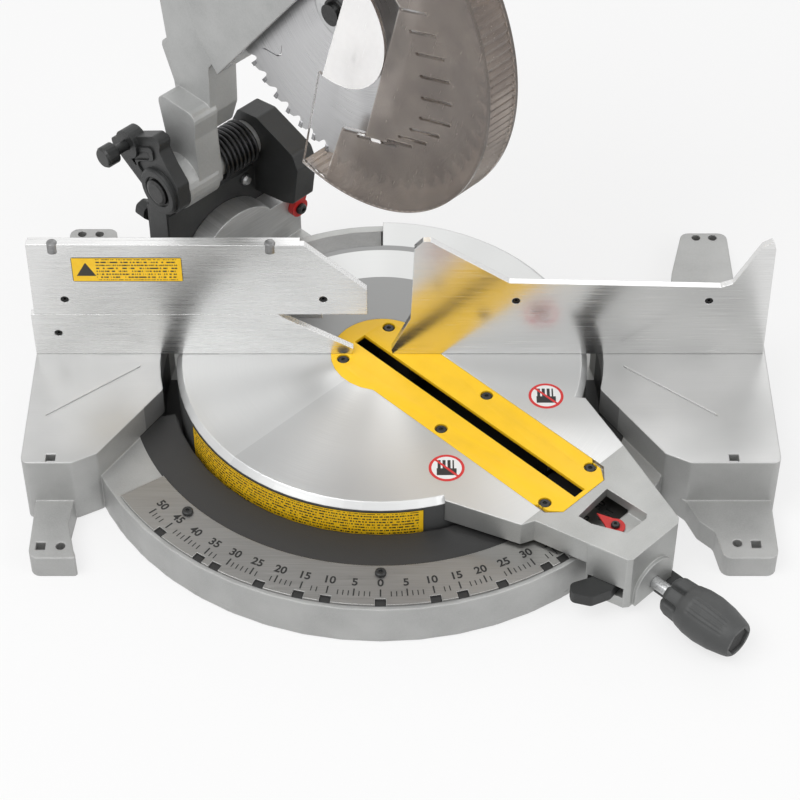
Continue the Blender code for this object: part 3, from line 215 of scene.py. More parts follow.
def base_metal(name):
    """Cast all over, with its two table tops milled flat."""
    g = Graph(name, TABLE, CAST, 0.45, 0.6)
    rounded = g.soft_edges(2.0)
    milled = g.all_of(g.maths("GREATER_THAN", g.up, 0.98), g.maths("GREATER_THAN", g.z, -1.1))
    groove = g.all_of(g.inside(g.z, -1.4, -0.15), g.maths("GREATER_THAN", g.up, 0.9))
    rough = g.maths("SUBTRACT", 1.0, milled)
    grain = g.maths("ADD", g.noise(0.75, 3), g.maths("MULTIPLY", g.noise(0.16, 2), 0.6))
    strokes = g.noise(1.0, 3, g.joined(g.maths("MULTIPLY", g.x, 0.012), g.maths("MULTIPLY", g.y, 1.3), 0.0))
    patches = g.between(g.noise(0.012, 2, rough=0.4), 0.35, 0.65)
    top = g.mix(patches, (0.47, 0.472, 0.468), (0.6, 0.6, 0.595))
    top = g.mix(g.maths("MULTIPLY", g.between(strokes, 0.3, 0.7), 0.3), top, (0.5, 0.505, 0.5))
    # Painted highlight, partly wear: the edges of the tops are brightened.
    top = g.mix(g.maths("MULTIPLY", g.edge_mask(rounded), 0.5), top, (0.7, 0.7, 0.7))
    # The walls that face the turntable are darkened to a dark grey: painted shade, as in the gap under the table.
    radius, _ = g.around()
    steep = g.maths("LESS_THAN", g.maths("ABSOLUTE", g.up), 0.5)
    inner = g.all_of(g.maths("LESS_THAN", radius, 206.0), g.maths("LESS_THAN", g.y, 30.0), steep)
    cast = g.mix(g.maths("MULTIPLY", inner, 0.75), cast_colour(g, rounded), (0.2, 0.2, 0.2))
    # Painted shade: the floors of the shallow grooves in the tops are near black.
    colour = g.mix(groove, g.mix(milled, cast, top), (0.09, 0.09, 0.09))
    # The well between the scale and the turntable gets a deeper painted shade, near black.
    well = g.all_of(g.maths("LESS_THAN", radius, 212.6), g.maths("LESS_THAN", g.y, 30.0), g.inside(g.z, -66.0, -26.5))
    colour = g.mix(well, colour, (0.055, 0.055, 0.055))
    height = g.maths("ADD", g.maths("MULTIPLY", grain, rough), g.maths("MULTIPLY", strokes, 0.06))
    return g.use(
        colour=colour,
        roughness=g.maths("SUBTRACT", 0.5, g.maths("MULTIPLY", milled, 0.16)),
        normal=g.bump(height, 0.22, 0.55, rounded),
    )


def turntable_metal(name):
    """Turned on top in fine rings, with painted shade in dark grey on its wall, cast on its arm and with painted
    shade in black in the kerf trough.
    """
    g = Graph(name, TURNED, MACHINED, 0.34, 0.85)
    rounded = g.soft_edges(1.4)
    radius, angle = g.around()
    rings = g.noise(1.0, 4, g.joined(g.maths("MULTIPLY", radius, 1.6), g.maths("MULTIPLY", angle, 0.9), 0.0))
    # Painted highlight: lighter and darker sectors round the axis, as light catches the turned top.
    highlight_fans = g.between(g.noise(1.7, 1, g.joined(angle, 0.0, 0.0)), 0.32, 0.68)
    top = g.mix(highlight_fans, (0.55, 0.555, 0.555), (0.76, 0.765, 0.76))
    top = g.mix(g.maths("MULTIPLY", g.between(rings, 0.3, 0.7), 0.35), top, (0.6, 0.605, 0.605))
    # With the arm at 45 degrees, x + y is large behind the fences. The table there is greyer, with a disc and a ring.
    back = g.maths("GREATER_THAN", g.maths("ADD", g.x, g.y), 20.0)
    raw = g.maths("MAXIMUM", g.maths("LESS_THAN", radius, 96.0), g.inside(radius, 131.0, 137.2))
    top = g.mix(g.maths("MULTIPLY", back, 0.5), top, (0.42, 0.425, 0.42))
    top = g.mix(g.all_of(back, raw), top, (0.24, 0.242, 0.24))
    level = g.all_of(g.inside(g.z, -5.2, 0.5), g.maths("GREATER_THAN", g.up, 0.6))
    front_arm = g.all_of(g.maths("GREATER_THAN", radius, TABLE_RADIUS + 0.2), g.maths("LESS_THAN", g.y, -214.0))
    milled = g.all_of(level, g.maths("SUBTRACT", 1.0, front_arm))
    behind = g.maths("GREATER_THAN", g.y, 60.0)
    wall = g.all_of(
        g.maths("LESS_THAN", g.z, -5.0),
        g.maths("LESS_THAN", radius, TABLE_RADIUS + 0.3),
        g.maths("LESS_THAN", g.maths("ADD", g.x, g.y), 40.0),
    )
    cast = cast_colour(g, rounded, (0.47, 0.475, 0.465))
    colour = g.mix(milled, cast, top)
    # Painted shade: the wall below the table's edge, on the front, is near black.
    colour = g.mix(wall, colour, (0.085, 0.087, 0.087))
    colour = g.mix(g.all_of(wall, behind, g.maths("GREATER_THAN", g.up, 0.5)), colour, (0.5, 0.5, 0.5))
    face = g.all_of(g.maths("GREATER_THAN", g.y, 174.0), g.maths("GREATER_THAN", g.z, -14.0))
    brushed = g.noise(1.0, 3, g.joined(g.maths("MULTIPLY", g.x, 0.03), 0.0, g.maths("MULTIPLY", g.z, 1.5)))
    colour = g.mix(face, colour, g.mix(g.between(brushed, 0.3, 0.7), (0.5, 0.505, 0.5), (0.68, 0.68, 0.68)))
    # Painted shade: the kerf trough and the hole in the arm are painted black.
    trough = g.all_of(g.inside(g.x, -10.3, 15.3), g.maths("LESS_THAN", g.z, -3.9), g.inside(g.y, -227.0, 31.0))
    hole = g.all_of(g.inside(g.x, -14.5, 16.5), g.inside(g.y, -256.5, -239.0), g.maths("LESS_THAN", g.z, -12.2))
    dark = g.maths("MAXIMUM", trough, hole)
    colour = g.mix(dark, colour, (0.012, 0.012, 0.012))
    grain = g.maths("ADD", g.noise(0.75, 3), g.maths("MULTIPLY", g.noise(0.16, 2), 0.6))
    rough = g.maths("SUBTRACT", 1.0, milled)
    height = g.maths("ADD", g.maths("MULTIPLY", grain, rough), g.maths("MULTIPLY", rings, 0.07))
    # The gloss stretches across the turning marks, so the tangent runs round the axis.
    tangent = g.vector("NORMALIZE", g.joined(g.maths("MULTIPLY", g.y, -1.0), g.x, 0.0))
    turned = g.add("VectorRotate", {"Vector": tangent, "Angle": math.radians(REST_MITER)}, rotation_type="Z_AXIS")
    spaces = {"vector_type": "VECTOR", "convert_from": "OBJECT", "convert_to": "WORLD"}
    to_world = g.add("VectorTransform", {0: turned.outputs[0]}, **spaces)
    g.put(g.shader, {"Anisotropic": 0.35, "Tangent": to_world.outputs[0]})
    # Where shade is painted on the wall and in the trough, the metal is mostly turned off too.
    painted_shade = g.maths("MAXIMUM", wall, dark)
    return g.use(
        colour=colour,
        metallic=g.maths("SUBTRACT", 0.85, g.maths("MULTIPLY", painted_shade, 0.8)),
        roughness=g.maths("ADD", 0.36, g.maths("MULTIPLY", rough, 0.12)),
        normal=g.bump(height, 0.2, 0.5, rounded),
    )


def brushed_metal(name, matrix, colour, roughness):
    """Brushed in straight fine lines along X."""
    g = Graph(name, matrix, colour, roughness, 0.95)
    rounded = g.soft_edges(0.7)
    lines = g.noise(1.0, 4, g.vector("MULTIPLY", g.place, (0.02, 1.0, 1.5)))
    cloudy = g.between(g.noise(0.02, 2), 0.35, 0.65)
    dim = tuple(part * 0.86 for part in colour)
    lit = tuple(min(part * 1.1, 0.85) for part in colour)
    base = g.mix(g.between(lines, 0.25, 0.75), dim, lit)
    base = g.mix(g.maths("MULTIPLY", cloudy, 0.25), base, lit)
    # Painted highlight, partly wear: the edges are mixed toward near white.
    base = g.mix(g.maths("MULTIPLY", g.edge_mask(rounded), 0.6), base, (0.85, 0.85, 0.85))
    return g.use(
        colour=base,
        roughness=g.between(lines, 0.3, 0.7, roughness - 0.05, roughness + 0.08),
        normal=g.bump(lines, 0.05, 0.4, rounded),
    )


def spun_metal(name, matrix, centre, colour=STEEL, roughness=0.28):
    """Ground in rings round an axis along X, as a saw blade is."""
    g = Graph(name, matrix, colour, roughness, 0.95)
    y = g.maths("SUBTRACT", g.y, float(centre[1]))
    z = g.maths("SUBTRACT", g.z, float(centre[2]))
    radius = g.vector("LENGTH", g.joined(y, z, 0.0), out="Value")
    angle = g.maths("ARCTAN2", z, y)
    lines = g.noise(1.0, 4, g.joined(g.maths("MULTIPLY", radius, 1.2), g.maths("MULTIPLY", angle, 2.0), 0.0))
    # Painted highlight: brighter sectors round the axis, as light catches the ground steel.
    highlight_fans = g.noise(1.5, 1, g.joined(angle, 0.0, 0.0))
    dim = tuple(part * 0.75 for part in colour)
    base = g.mix(g.between(lines, 0.3, 0.7), dim, colour)
    base = g.mix(g.maths("MULTIPLY", g.between(highlight_fans, 0.4, 0.6), 0.4), base, (0.75, 0.75, 0.75))
    return g.use(
        colour=base,
        roughness=g.between(lines, 0.3, 0.7, roughness, roughness + 0.12),
        normal=g.bump(lines, 0.05, 0.4),
    )


def plain_steel(name, matrix, colour=STEEL, roughness=0.3):
    """Zinc-plated steel with faint blotches."""
    g = Graph(name, matrix, colour, roughness, 0.95)
    rounded = g.soft_edges(0.4)
    blotch = g.between(g.noise(0.35, 4), 0.3, 0.7)
    dim = tuple(part * 0.72 for part in colour)
    return g.use(
        colour=g.mix(blotch, dim, colour),
        roughness=g.between(g.noise(0.9, 3), 0.3, 0.7, roughness - 0.06, roughness + 0.12),
        normal=g.bump(g.noise(1.5, 2), 0.05, 0.3, rounded),
    )


def plastic(name, matrix, colour, roughness=0.45, grain=0.9, depth=0.12, dimmest=0.8):
    """Moulded plastic: an etched grain, slight clouding and edges lightened, partly as wear and partly as a painted
    highlight.
    """
    g = Graph(name, matrix, colour, roughness, 0.0)
    rounded = g.soft_edges(1.0)
    cells = g.add("TexVoronoi", {"Vector": g.place, "Scale": grain}, feature="DISTANCE_TO_EDGE").outputs["Distance"]
    fine = g.noise(grain * 1.7, 3)
    cloudy = g.between(g.noise(0.05, 3), 0.3, 0.7)
    dim = tuple(part * dimmest for part in colour)
    rubbed_and_highlit = tuple(min(part * 1.35 + 0.02, 1.0) for part in colour)
    base = g.mix(cloudy, dim, colour)
    # Painted highlight, partly wear: the edges are lightened.
    base = g.mix(g.maths("MULTIPLY", g.edge_mask(rounded), 0.4), base, rubbed_and_highlit)
    height = g.maths("ADD", fine, g.between(cells, 0.0, 0.3, 0.0, 0.4))
    return g.use(
        colour=base,
        roughness=g.between(fine, 0.3, 0.7, roughness - 0.06, roughness + 0.1),
        normal=g.bump(height, depth, 0.4, rounded),
    )


def smoky(name, matrix):
    """Smoke-grey clear plastic with a few scratches."""
    g = Graph(name, matrix, (0.42, 0.36, 0.32), 0.12)
    scratches = g.noise(1.0, 5, g.vector("MULTIPLY", g.place, (1.0, 0.05, 0.9)))
    g.put(g.shader, {"Transmission Weight": 0.82, "IOR": 1.46})
    return g.use(
        colour=g.mix(g.between(g.noise(0.03, 3), 0.3, 0.7), (0.34, 0.29, 0.26), (0.5, 0.44, 0.39)),
        roughness=g.between(scratches, 0.4, 0.75, 0.1, 0.3),
        normal=g.bump(g.noise(0.2, 2), 0.1, 0.2),
    )


# Shapes


PLANES = {
    "XY": Matrix.Identity(4),
    "YZ": Matrix(((0, 0, 1, 0), (1, 0, 0, 0), (0, 1, 0, 0), (0, 0, 0, 1))),
    "XZ": Matrix(((1, 0, 0, 0), (0, 0, -1, 0), (0, 1, 0, 0), (0, 0, 0, 1))),
}


def plate(outlines, low, high, plane="XY"):
    """The mesh of a flat outline, with holes where outlines lie inside one another, from low to high."""
    curve = bpy.data.curves.new("outline", "CURVE")
    curve.dimensions = "2D"
    curve.fill_mode = "BOTH"
    curve.extrude = (high - low) / 2
    for points in outlines:
        spline = curve.splines.new("POLY")
        spline.points.add(len(points) - 1)
        spline.use_cyclic_u = True
        for point, (across, along) in zip(spline.points, points):
            point.co = (across, along, 0, 1)
    helper = bpy.data.objects.new("outline", curve)
    bpy.context.scene.collection.objects.link(helper)
    mesh = bpy.data.meshes.new_from_object(helper)
    bpy.data.objects.remove(helper)
    middle = (high + low) / 2 if plane != "XZ" else -(high + low) / 2
    bm = bmesh.new()
    bm.from_mesh(mesh)
    bpy.data.meshes.remove(mesh)
    bmesh.ops.remove_doubles(bm, verts=bm.verts, dist=0.0005)
    bmesh.ops.recalc_face_normals(bm, faces=bm.faces)
    bmesh.ops.dissolve_limit(bm, angle_limit=math.radians(0.05), verts=bm.verts, edges=bm.edges)
    bm.transform(PLANES[plane] @ Matrix.Translation((0, 0, middle)))
    return bm


def lofted(rings):
    """The mesh through rings of the same number of points, closed at both ends."""
    bm = bmesh.new()
    loops = [[bm.verts.new(point) for point in ring] for ring in rings]
    for below, above in zip(loops, loops[1:]):
        count = len(below)
        for i in range(count):
            after = (i + 1) % count
            bm.faces.new((below[i], below[after], above[after], above[i]))
    bm.faces.new(loops[0][::-1])
    bm.faces.new(loops[-1])
    if bm.calc_volume(signed=True) < 0:
        bmesh.ops.reverse_faces(bm, faces=bm.faces)
    return bm


def frame_along(place, direction):
    turn = Vector(direction).to_track_quat("Z", "Y").to_matrix().to_4x4()
    return Matrix.Translation(place) @ turn


def ring_of(radius, along, sides):
    """A level ring of points. The radius is a number, or a function of the angle."""
    points = []
    for i in range(sides):
        angle = TAU * i / sides
        reach = radius(angle) if callable(radius) else radius
        points.append((reach * math.cos(angle), reach * math.sin(angle), along))
    return points


def hexagon(reach):
    """The radius of a hexagon at each angle, for ring_of: reach is its corner."""
    return lambda angle: reach * math.cos(TAU / 12) / math.cos(angle % (TAU / 6) - TAU / 12)


def turned(profile, place, direction, sides):
    """The mesh of a turned piece: profile holds (radius, distance), with a radius of 0 at neither end."""
    bm = lofted([ring_of(radius, along, sides) for radius, along in profile])
    bm.transform(frame_along(place, direction))
    return bm


def arc(centre, radius, start, end, steps):
    points = []
    for step in range(steps + 1):
        angle = start + (end - start) * step / steps
        points.append((centre[0] + radius * math.cos(angle), centre[1] + radius * math.sin(angle)))
    return points


def circle(centre, radius, sides=48):
    return arc(centre, radius, 0, TAU * (sides - 1) / sides, sides - 1)


def rounded(points, radius, steps=6):
    """The outline with each corner rounded, where its edges are long enough."""
    out = []
    count = len(points)
    for i in range(count):
        corner = Vector(points[i])
        before = Vector(points[i - 1]) - corner
        after = Vector(points[(i + 1) % count]) - corner
        half = before.angle(after) / 2
        back = min(radius / math.tan(half), before.length * 0.45, after.length * 0.45)
        size = back * math.tan(half)
        if math.degrees(half) > 85 or size < 0.3:
            out.append(tuple(corner))
            continue
        middle = corner + (before.normalized() + after.normalized()).normalized() * size / math.sin(half)
        first = corner + before.normalized() * back - middle
        last = corner + after.normalized() * back - middle
        turn = first.angle_signed(last)
        for step in range(steps + 1):
            spoke = first.copy()
            spoke.rotate(Matrix.Rotation(-turn * step / steps, 2))
            out.append(tuple(middle + spoke))
    return out


def joined(*parts):
    """One mesh of several."""
    whole = parts[0]
    for part in parts[1:]:
        mesh = bpy.data.meshes.new("part")
        part.to_mesh(mesh)
        part.free()
        whole.from_mesh(mesh)
        bpy.data.meshes.remove(mesh)
    return whole


def piece(name, bm, matrix, body, material, replaces=(), edge=0.0, steps=2, angle=35):
    """Puts a mesh where it rests, rounds its edges and hangs it on its CAD body."""
    if edge:
        sharp = [e for e in bm.edges if len(e.link_faces) == 2 and e.calc_face_angle(0) > math.radians(angle)]
        bmesh.ops.bevel(bm, geom=sharp, offset=edge, segments=steps, affect="EDGES", profile=0.5, clamp_overlap=True)
    bm.transform(matrix)
    mesh = bpy.data.meshes.new(name)
    bm.to_mesh(mesh)
    bm.free()
    obj = bpy.data.objects.new(name, mesh)
    bpy.context.scene.collection.objects.link(obj)
    mesh.materials.append(material)
    mesh.shade_smooth()
    mesh.set_sharp_from_angle(angle=math.radians(32))
    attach(obj, body)
    if replaces:
        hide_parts(*replaces)
    return obj


# Camera and light


def make_camera():
    data = bpy.data.cameras.new("camera")
    data.lens = 106.54
    data.sensor_width = 36
    camera = bpy.data.objects.new("camera", data)
    bpy.context.scene.collection.objects.link(camera)
    camera.location = TABLE @ Vector((15.2, -1426.9, 1395.6))
    camera.rotation_euler = (math.radians(90 - 45.48), 0, 0)
    bpy.context.scene.camera = camera


def seen_directly(tree):
    """1 for the rays by which the camera, metal and glass see the background."""
    path = tree.nodes.new("ShaderNodeLightPath")
    total = path.outputs["Is Camera Ray"]
    for name in ("Is Glossy Ray", "Is Transmission Ray"):
        add = tree.nodes.new("ShaderNodeMath")
        add.operation = "MAXIMUM"
        tree.links.new(total, add.inputs[0])
        tree.links.new(path.outputs[name], add.inputs[1])
        total = add.outputs[0]
    return total


def make_world():
    world = bpy.data.worlds.new("studio")
    bpy.context.scene.world = world
    world.use_nodes = True
    tree = world.node_tree
    background = tree.nodes["Background"]
    mix = tree.nodes.new("ShaderNodeMix")
    mix.data_type = "FLOAT"
    tree.links.new(seen_directly(tree), mix.inputs[0])
    mix.inputs[2].default_value = 0.62
    mix.inputs[3].default_value = 1.0
    background.inputs["Color"].default_value = (1, 1, 1, 1)
    tree.links.new(mix.outputs[0], background.inputs["Strength"])


def make_lamp(name, place, aim, size, energy):
    data = bpy.data.lights.new(name, "AREA")
    data.shape = "RECTANGLE"
    data.size, data.size_y = size
    data.energy = energy
    lamp = bpy.data.objects.new(name, data)
    bpy.context.scene.collection.objects.link(lamp)
    lamp.location = place
    lamp.rotation_euler = (Vector(aim) - Vector(place)).to_track_quat("-Z", "Y").to_euler()


def make_floor():
    bm = bmesh.new()
    bmesh.ops.create_circle(bm, cap_ends=True, radius=9, segments=96)
    mesh = bpy.data.meshes.new("floor")
    bm.to_mesh(mesh)
    bm.free()
    floor = bpy.data.objects.new("floor", mesh)
    bpy.context.scene.collection.objects.link(floor)
    material = bpy.data.materials.new("floor_paper")
    material.use_nodes = True
    tree = material.node_tree
    shader = tree.nodes["Principled BSDF"]
    shader.inputs["Base Color"].default_value = (0.82, 0.82, 0.82, 1)
    shader.inputs["Roughness"].default_value = 0.9
    shader.inputs["Specular IOR Level"].default_value = 0.1
    glow = tree.nodes.new("ShaderNodeEmission")
    share = tree.nodes.new("ShaderNodeMath")
    share.operation = "MULTIPLY"
    share.inputs[1].default_value = 0.72
    mix = tree.nodes.new("ShaderNodeMixShader")
    tree.links.new(seen_directly(tree), share.inputs[0])
    tree.links.new(share.outputs[0], mix.inputs[0])
    tree.links.new(shader.outputs[0], mix.inputs[1])
    tree.links.new(glow.outputs[0], mix.inputs[2])
    tree.links.new(mix.outputs[0], tree.nodes["Material Output"].inputs["Surface"])
    mesh.materials.append(material)


def make_studio():
    make_camera()
    make_world()
    make_lamp("key", (-0.9, -0.7, 2.0), (0, 0, 0.1), (1.4, 1.4), 23)
    make_lamp("fill", (1.5, -1.0, 1.3), (0, 0, 0.1), (1.2, 1.2), 9)
    make_lamp("rim", (0.3, 1.8, 1.5), (0, 0, 0.2), (1.6, 0.8), 4)
    make_floor()
    bpy.context.scene.view_settings.view_transform = "Standard"


# Pieces


UPWARD = (0, 0, 1)
FORWARD = (0, -1, 0)


def socket_screw(name, place, direction, radius, height, body, material, node, matrix, slot="steel"):
    """A domed screw head with a hexagonal socket. It takes the place of a CAD node, if one is named."""
    sides = 36
    dome = ((1, 0), (1, 0.45), (0.93, 0.8), (0.78, 1.0), (0.5, 1.0))
    rings = [ring_of(radius * share, height * along, sides) for share, along in dome]
    rings += [ring_of(hexagon(radius * 0.42), height * along, sides) for along in (1.0, 0.35)]
    bm = lofted(rings)
    bm.transform(frame_along(place, direction))
    return piece(name, bm, matrix, body, material, (node,) if node else ())


def kerf_outline():
    half = 35
    radius = 43
    start = math.asin(half / radius)
    back = arc((0, 0), radius, start - math.pi / 2, FRONT - start, 40)
    front = [(-half, -206), (-half + 3, -209), (-half + 3, -218), (-half + 11, -228)]
    return back + front + [(-x, y) for x, y in front[::-1]]


def make_kerf_plate():
    yellow = plastic("kerf_yellow", TURNED, YELLOW, 0.42, 0.9, 0.04, 0.94)
    dark = plastic("kerf_screw_black", TURNED, BLACK, 0.35)
    places = [(side * 27, -u) for u in (-19, 96, 211) for side in (-1, 1)]
    slot = [(-6, 27), (-6, -224), (6, -224), (6, 27)]
    holes = [circle(place, 5.4, 24) for place in places]
    shell = plate([kerf_outline(), slot] + holes, -3.5, 0)
    piece("kerf_insert", shell, TURNED, "turntable", yellow, ("kerf_plate",), 0.7, 2)
    for number, place in enumerate(places, 1):
        name, node = f"kerf_screw_head_{number}", f"kerf_screw_{number}"
        socket_screw(name, (*place, -3.1), UPWARD, 4.6, 2.7, "turntable", dark, node, TURNED)


def scale_outline():
    """The scale plate with the detent notches in its outer edge."""
    outer, inner, span = 252, 212, math.radians(57)
    notches = sorted([0] + [side * value for value in (10, 15, 22.5, 31.62, 35.26, 45) for side in (-1, 1)])
    half = 4.5 / outer
    points = []
    angle = FRONT - span
    for notch in notches:
        middle = FRONT + math.radians(notch)
        points += arc((0, 0), outer, angle, middle - half, max(int((middle - half - angle) / 0.03), 1))
        points += arc((0, 0), outer - 6, middle - half, middle + half, 2)
        angle = middle + half
    points += arc((0, 0), outer, angle, FRONT + span, 8)
    points += arc((0, 0), inner, FRONT + span, FRONT - span, 60)
    return points, notches


def make_scale():
    steel = brushed_metal("scale_steel", TABLE, (0.3, 0.295, 0.285), 0.36)
    ink = plastic("scale_ink", TABLE, (0.012, 0.012, 0.012), 0.5, 2.0, 0.02)
    outline, notches = scale_outline()
    screw_angles = [FRONT + math.radians(degrees) for degrees in (-45, 0, 45)]
    screws = [(220 * math.cos(angle), 220 * math.sin(angle)) for angle in screw_angles]
    scale = plate([outline] + [circle(place, 2.2, 20) for place in screws], SCALE_TOP - 1.7, SCALE_TOP)
    piece("scale_plate", scale, TABLE, "base", steel, ("miter_scale",), 0.25, 1)
    marks = []
    for degree in range(-50, 51):
        if any(abs(degree - notch) < 1.2 and degree % 5 for notch in notches):
            continue
        long_mark = degree % 5 == 0
        angle = FRONT + math.radians(degree)
        out = Vector((math.cos(angle), math.sin(angle)))
        across = Vector((-math.sin(angle), math.cos(angle)))
        half = 0.6 if long_mark else 0.4
        near, far = 236.4 if long_mark else 238.6, 243.6
        corners = [out * near - across * half, out * far - across * half]
        corners += [out * far + across * half, out * near + across * half]
        marks.append(plate([[tuple(c) for c in corners]], SCALE_TOP, SCALE_TOP + 0.12))
    # Painted shade: near-black plates in the scale's ink fill the floors of the detent notches.
    notch_shades = []
    for notch in notches:
        notch_shade = plate([[(-4.3, -252), (4.3, -252), (4.3, -246.2), (-4.3, -246.2)]], SCALE_TOP - 1.9, SCALE_TOP - 1.2)
        notch_shade.transform(Matrix.Rotation(math.radians(notch), 4, "Z"))
        notch_shades.append(notch_shade)
    for degree in range(-50, 51, 5):
        marks.append(number_mesh(str(abs(degree)), math.radians(degree)))
    piece("scale_marks", joined(*marks), TABLE, "base", ink)
    piece("detent_pockets", joined(*notch_shades), TABLE, "base", ink)
    black = plastic("scale_screw_black", TABLE, BLACK, 0.3)
    for number, place in enumerate(screws, 1):
        name, node = f"scale_screw_head_{number}", f"scale_screw_{number}"
        socket_screw(name, (*place, SCALE_TOP + 0.3), UPWARD, 4.6, 2.6, "base", black, node, TABLE)


def number_mesh(text, turn):
    """A number of the scale, flat on it and turned about the middle of the table."""
    curve = bpy.data.curves.new("number", "FONT")
    curve.body = text
    curve.size = 10.0
    curve.align_x = "CENTER"
    curve.align_y = "CENTER"
    curve.extrude = 0.06
    curve.offset = 0.26
    helper = bpy.data.objects.new("number", curve)
    bpy.context.scene.collection.objects.link(helper)
    mesh = bpy.data.meshes.new_from_object(helper)
    bpy.data.objects.remove(helper)
    bm = bmesh.new()
    bm.from_mesh(mesh)
    bmesh.ops.remove_doubles(bm, verts=bm.verts, dist=0.0005)
    bm.transform(Matrix.Rotation(turn, 4, "Z") @ Matrix.Translation((0, -230, SCALE_TOP + 0.06)))
    return bm


def word_bars(g, along, up, line):
    """Rows of plain dark bars, where a label has its small print."""
    row = g.maths("FLOOR", g.maths("DIVIDE", up, line))
    within = g.maths("SUBTRACT", g.maths("DIVIDE", up, line), row)
    words = g.noise(0.8, 1, g.joined(along, g.maths("MULTIPLY", row, 37.0), 0.0))
    return g.all_of(g.inside(within, 0.25, 0.72), g.maths("GREATER_THAN", words, 0.48))


def label_gloss(g):
    return g.between(g.noise(0.6, 2), 0.3, 0.7, 0.32, 0.45)


def label_material(g, u, v, length, height, rows, triangle=0.0):
    """A yellow label with plain bars for words, a dark edge and, given a width for it, a triangle."""
    words = word_bars(g, u, v, height / rows)
    bars = g.all_of(words, g.inside(v, 1.6, height - 1.6), g.inside(u, 3.0 + triangle, length - 4.0))
    across = g.maths("SUBTRACT", 1.0, g.inside(v, 0.5, height - 0.5))
    ends = g.maths("SUBTRACT", 1.0, g.inside(u, 0.5, length - 0.5))
    dark = g.maths("MAXIMUM", bars, g.maths("MAXIMUM", across, ends))
    if triangle:
        middle = 3.0 + triangle / 2
        side = g.maths("ABSOLUTE", g.maths("SUBTRACT", u, middle))
        reach = g.maths("MULTIPLY", g.maths("SUBTRACT", height * 0.8, v), 0.55)
        sign = g.all_of(g.maths("LESS_THAN", side, reach), g.maths("GREATER_THAN", v, height * 0.24))
        dark = g.maths("MAXIMUM", dark, sign)
    colour = g.mix(g.between(g.noise(0.2, 2), 0.3, 0.7), (0.94, 0.56, 0.012), (0.99, 0.62, 0.02))
    return g.use(colour=g.mix(dark, colour, (0.03, 0.028, 0.02)), roughness=label_gloss(g))


def make_labels():
    radius, low, high = TABLE_RADIUS + 0.35, -46, -7
    start, end = FRONT - math.radians(108.6), FRONT - math.radians(33.6)
    steps = 60
    rings = []
    for step in range(steps + 1):
        angle = start + (end - start) * step / steps
        out = Vector((math.cos(angle), math.sin(angle), 0))
        inner, outer = out * (radius - 0.6), out * radius
        rings.append([(*inner.xy, low), (*outer.xy, low), (*outer.xy, high), (*inner.xy, high)])
    length = radius * (end - start)
    g = Graph("wall_label_print", TURNED, YELLOW, 0.4)
    angle = g.maths("ARCTAN2", g.maths("MULTIPLY", g.x, -1.0), g.y)
    along = g.maths("MULTIPLY", g.maths("SUBTRACT", angle, start - FRONT + math.pi), radius)
    material = label_material(g, along, g.maths("SUBTRACT", g.z, float(low)), length, high - low, 12)
    piece("wall_label", lofted(rings), TURNED, "turntable", material)

    corners = rounded([(-252, 83), (-162, 83), (-162, 109), (-252, 109)], 1.5)
    g = Graph("fence_label_print", TABLE, YELLOW, 0.4)
    along, up = g.maths("ADD", g.x, 252.0), g.maths("SUBTRACT", g.z, 83.0)
    material = label_material(g, along, up, 90, 26, 8, 17)
    piece("fence_label", plate([corners], -0.25, 0.05, "XZ"), TABLE, "fence_slide", material)

    for number, (x, y) in enumerate(((-55.5, -130), (61, -131.5)), 1):
        g = Graph(f"hand_sign_print_{number}", TURNED, (0.8, 0.8, 0.8), 0.4)
        # The sign stands upright to someone at the front of the saw.
        turn = math.radians(REST_MITER)
        dx, dy = g.maths("SUBTRACT", g.x, float(x)), g.maths("SUBTRACT", g.y, float(y))
        right = g.maths("SUBTRACT", g.maths("MULTIPLY", dx, math.cos(turn)), g.maths("MULTIPLY", dy, math.sin(turn)))
        up = g.maths("ADD", g.maths("MULTIPLY", dx, math.sin(turn)), g.maths("MULTIPLY", dy, math.cos(turn)))
        reach = g.vector("LENGTH", g.joined(right, up, 0.0), out="Value")
        ring = g.maths("GREATER_THAN", reach, 12.2)
        slash = g.maths("LESS_THAN", g.maths("ABSOLUTE", g.maths("ADD", right, up)), 1.4)
        bars = g.maths("LESS_THAN", g.maths("PINGPONG", g.maths("ADD", right, 22.0), 2.0), 1.25)
        fingers = g.all_of(bars, g.inside(right, -8.0, 6.0), g.inside(up, -1.0, 8.5))
        palm = g.all_of(g.inside(right, -8.0, 8.0), g.inside(up, -8.0, -0.5))
        colour = g.mix(g.maths("MAXIMUM", fingers, palm), (0.78, 0.78, 0.77), (0.02, 0.02, 0.02))
        colour = g.mix(g.maths("MAXIMUM", ring, slash), colour, (0.62, 0.03, 0.03))
        material = g.use(colour=colour, roughness=label_gloss(g))
        disc = plate([circle((x, y), 14.5)], -0.05, 0.2)
        piece(f"hand_sign_{number}", disc, TURNED, "turntable", material)


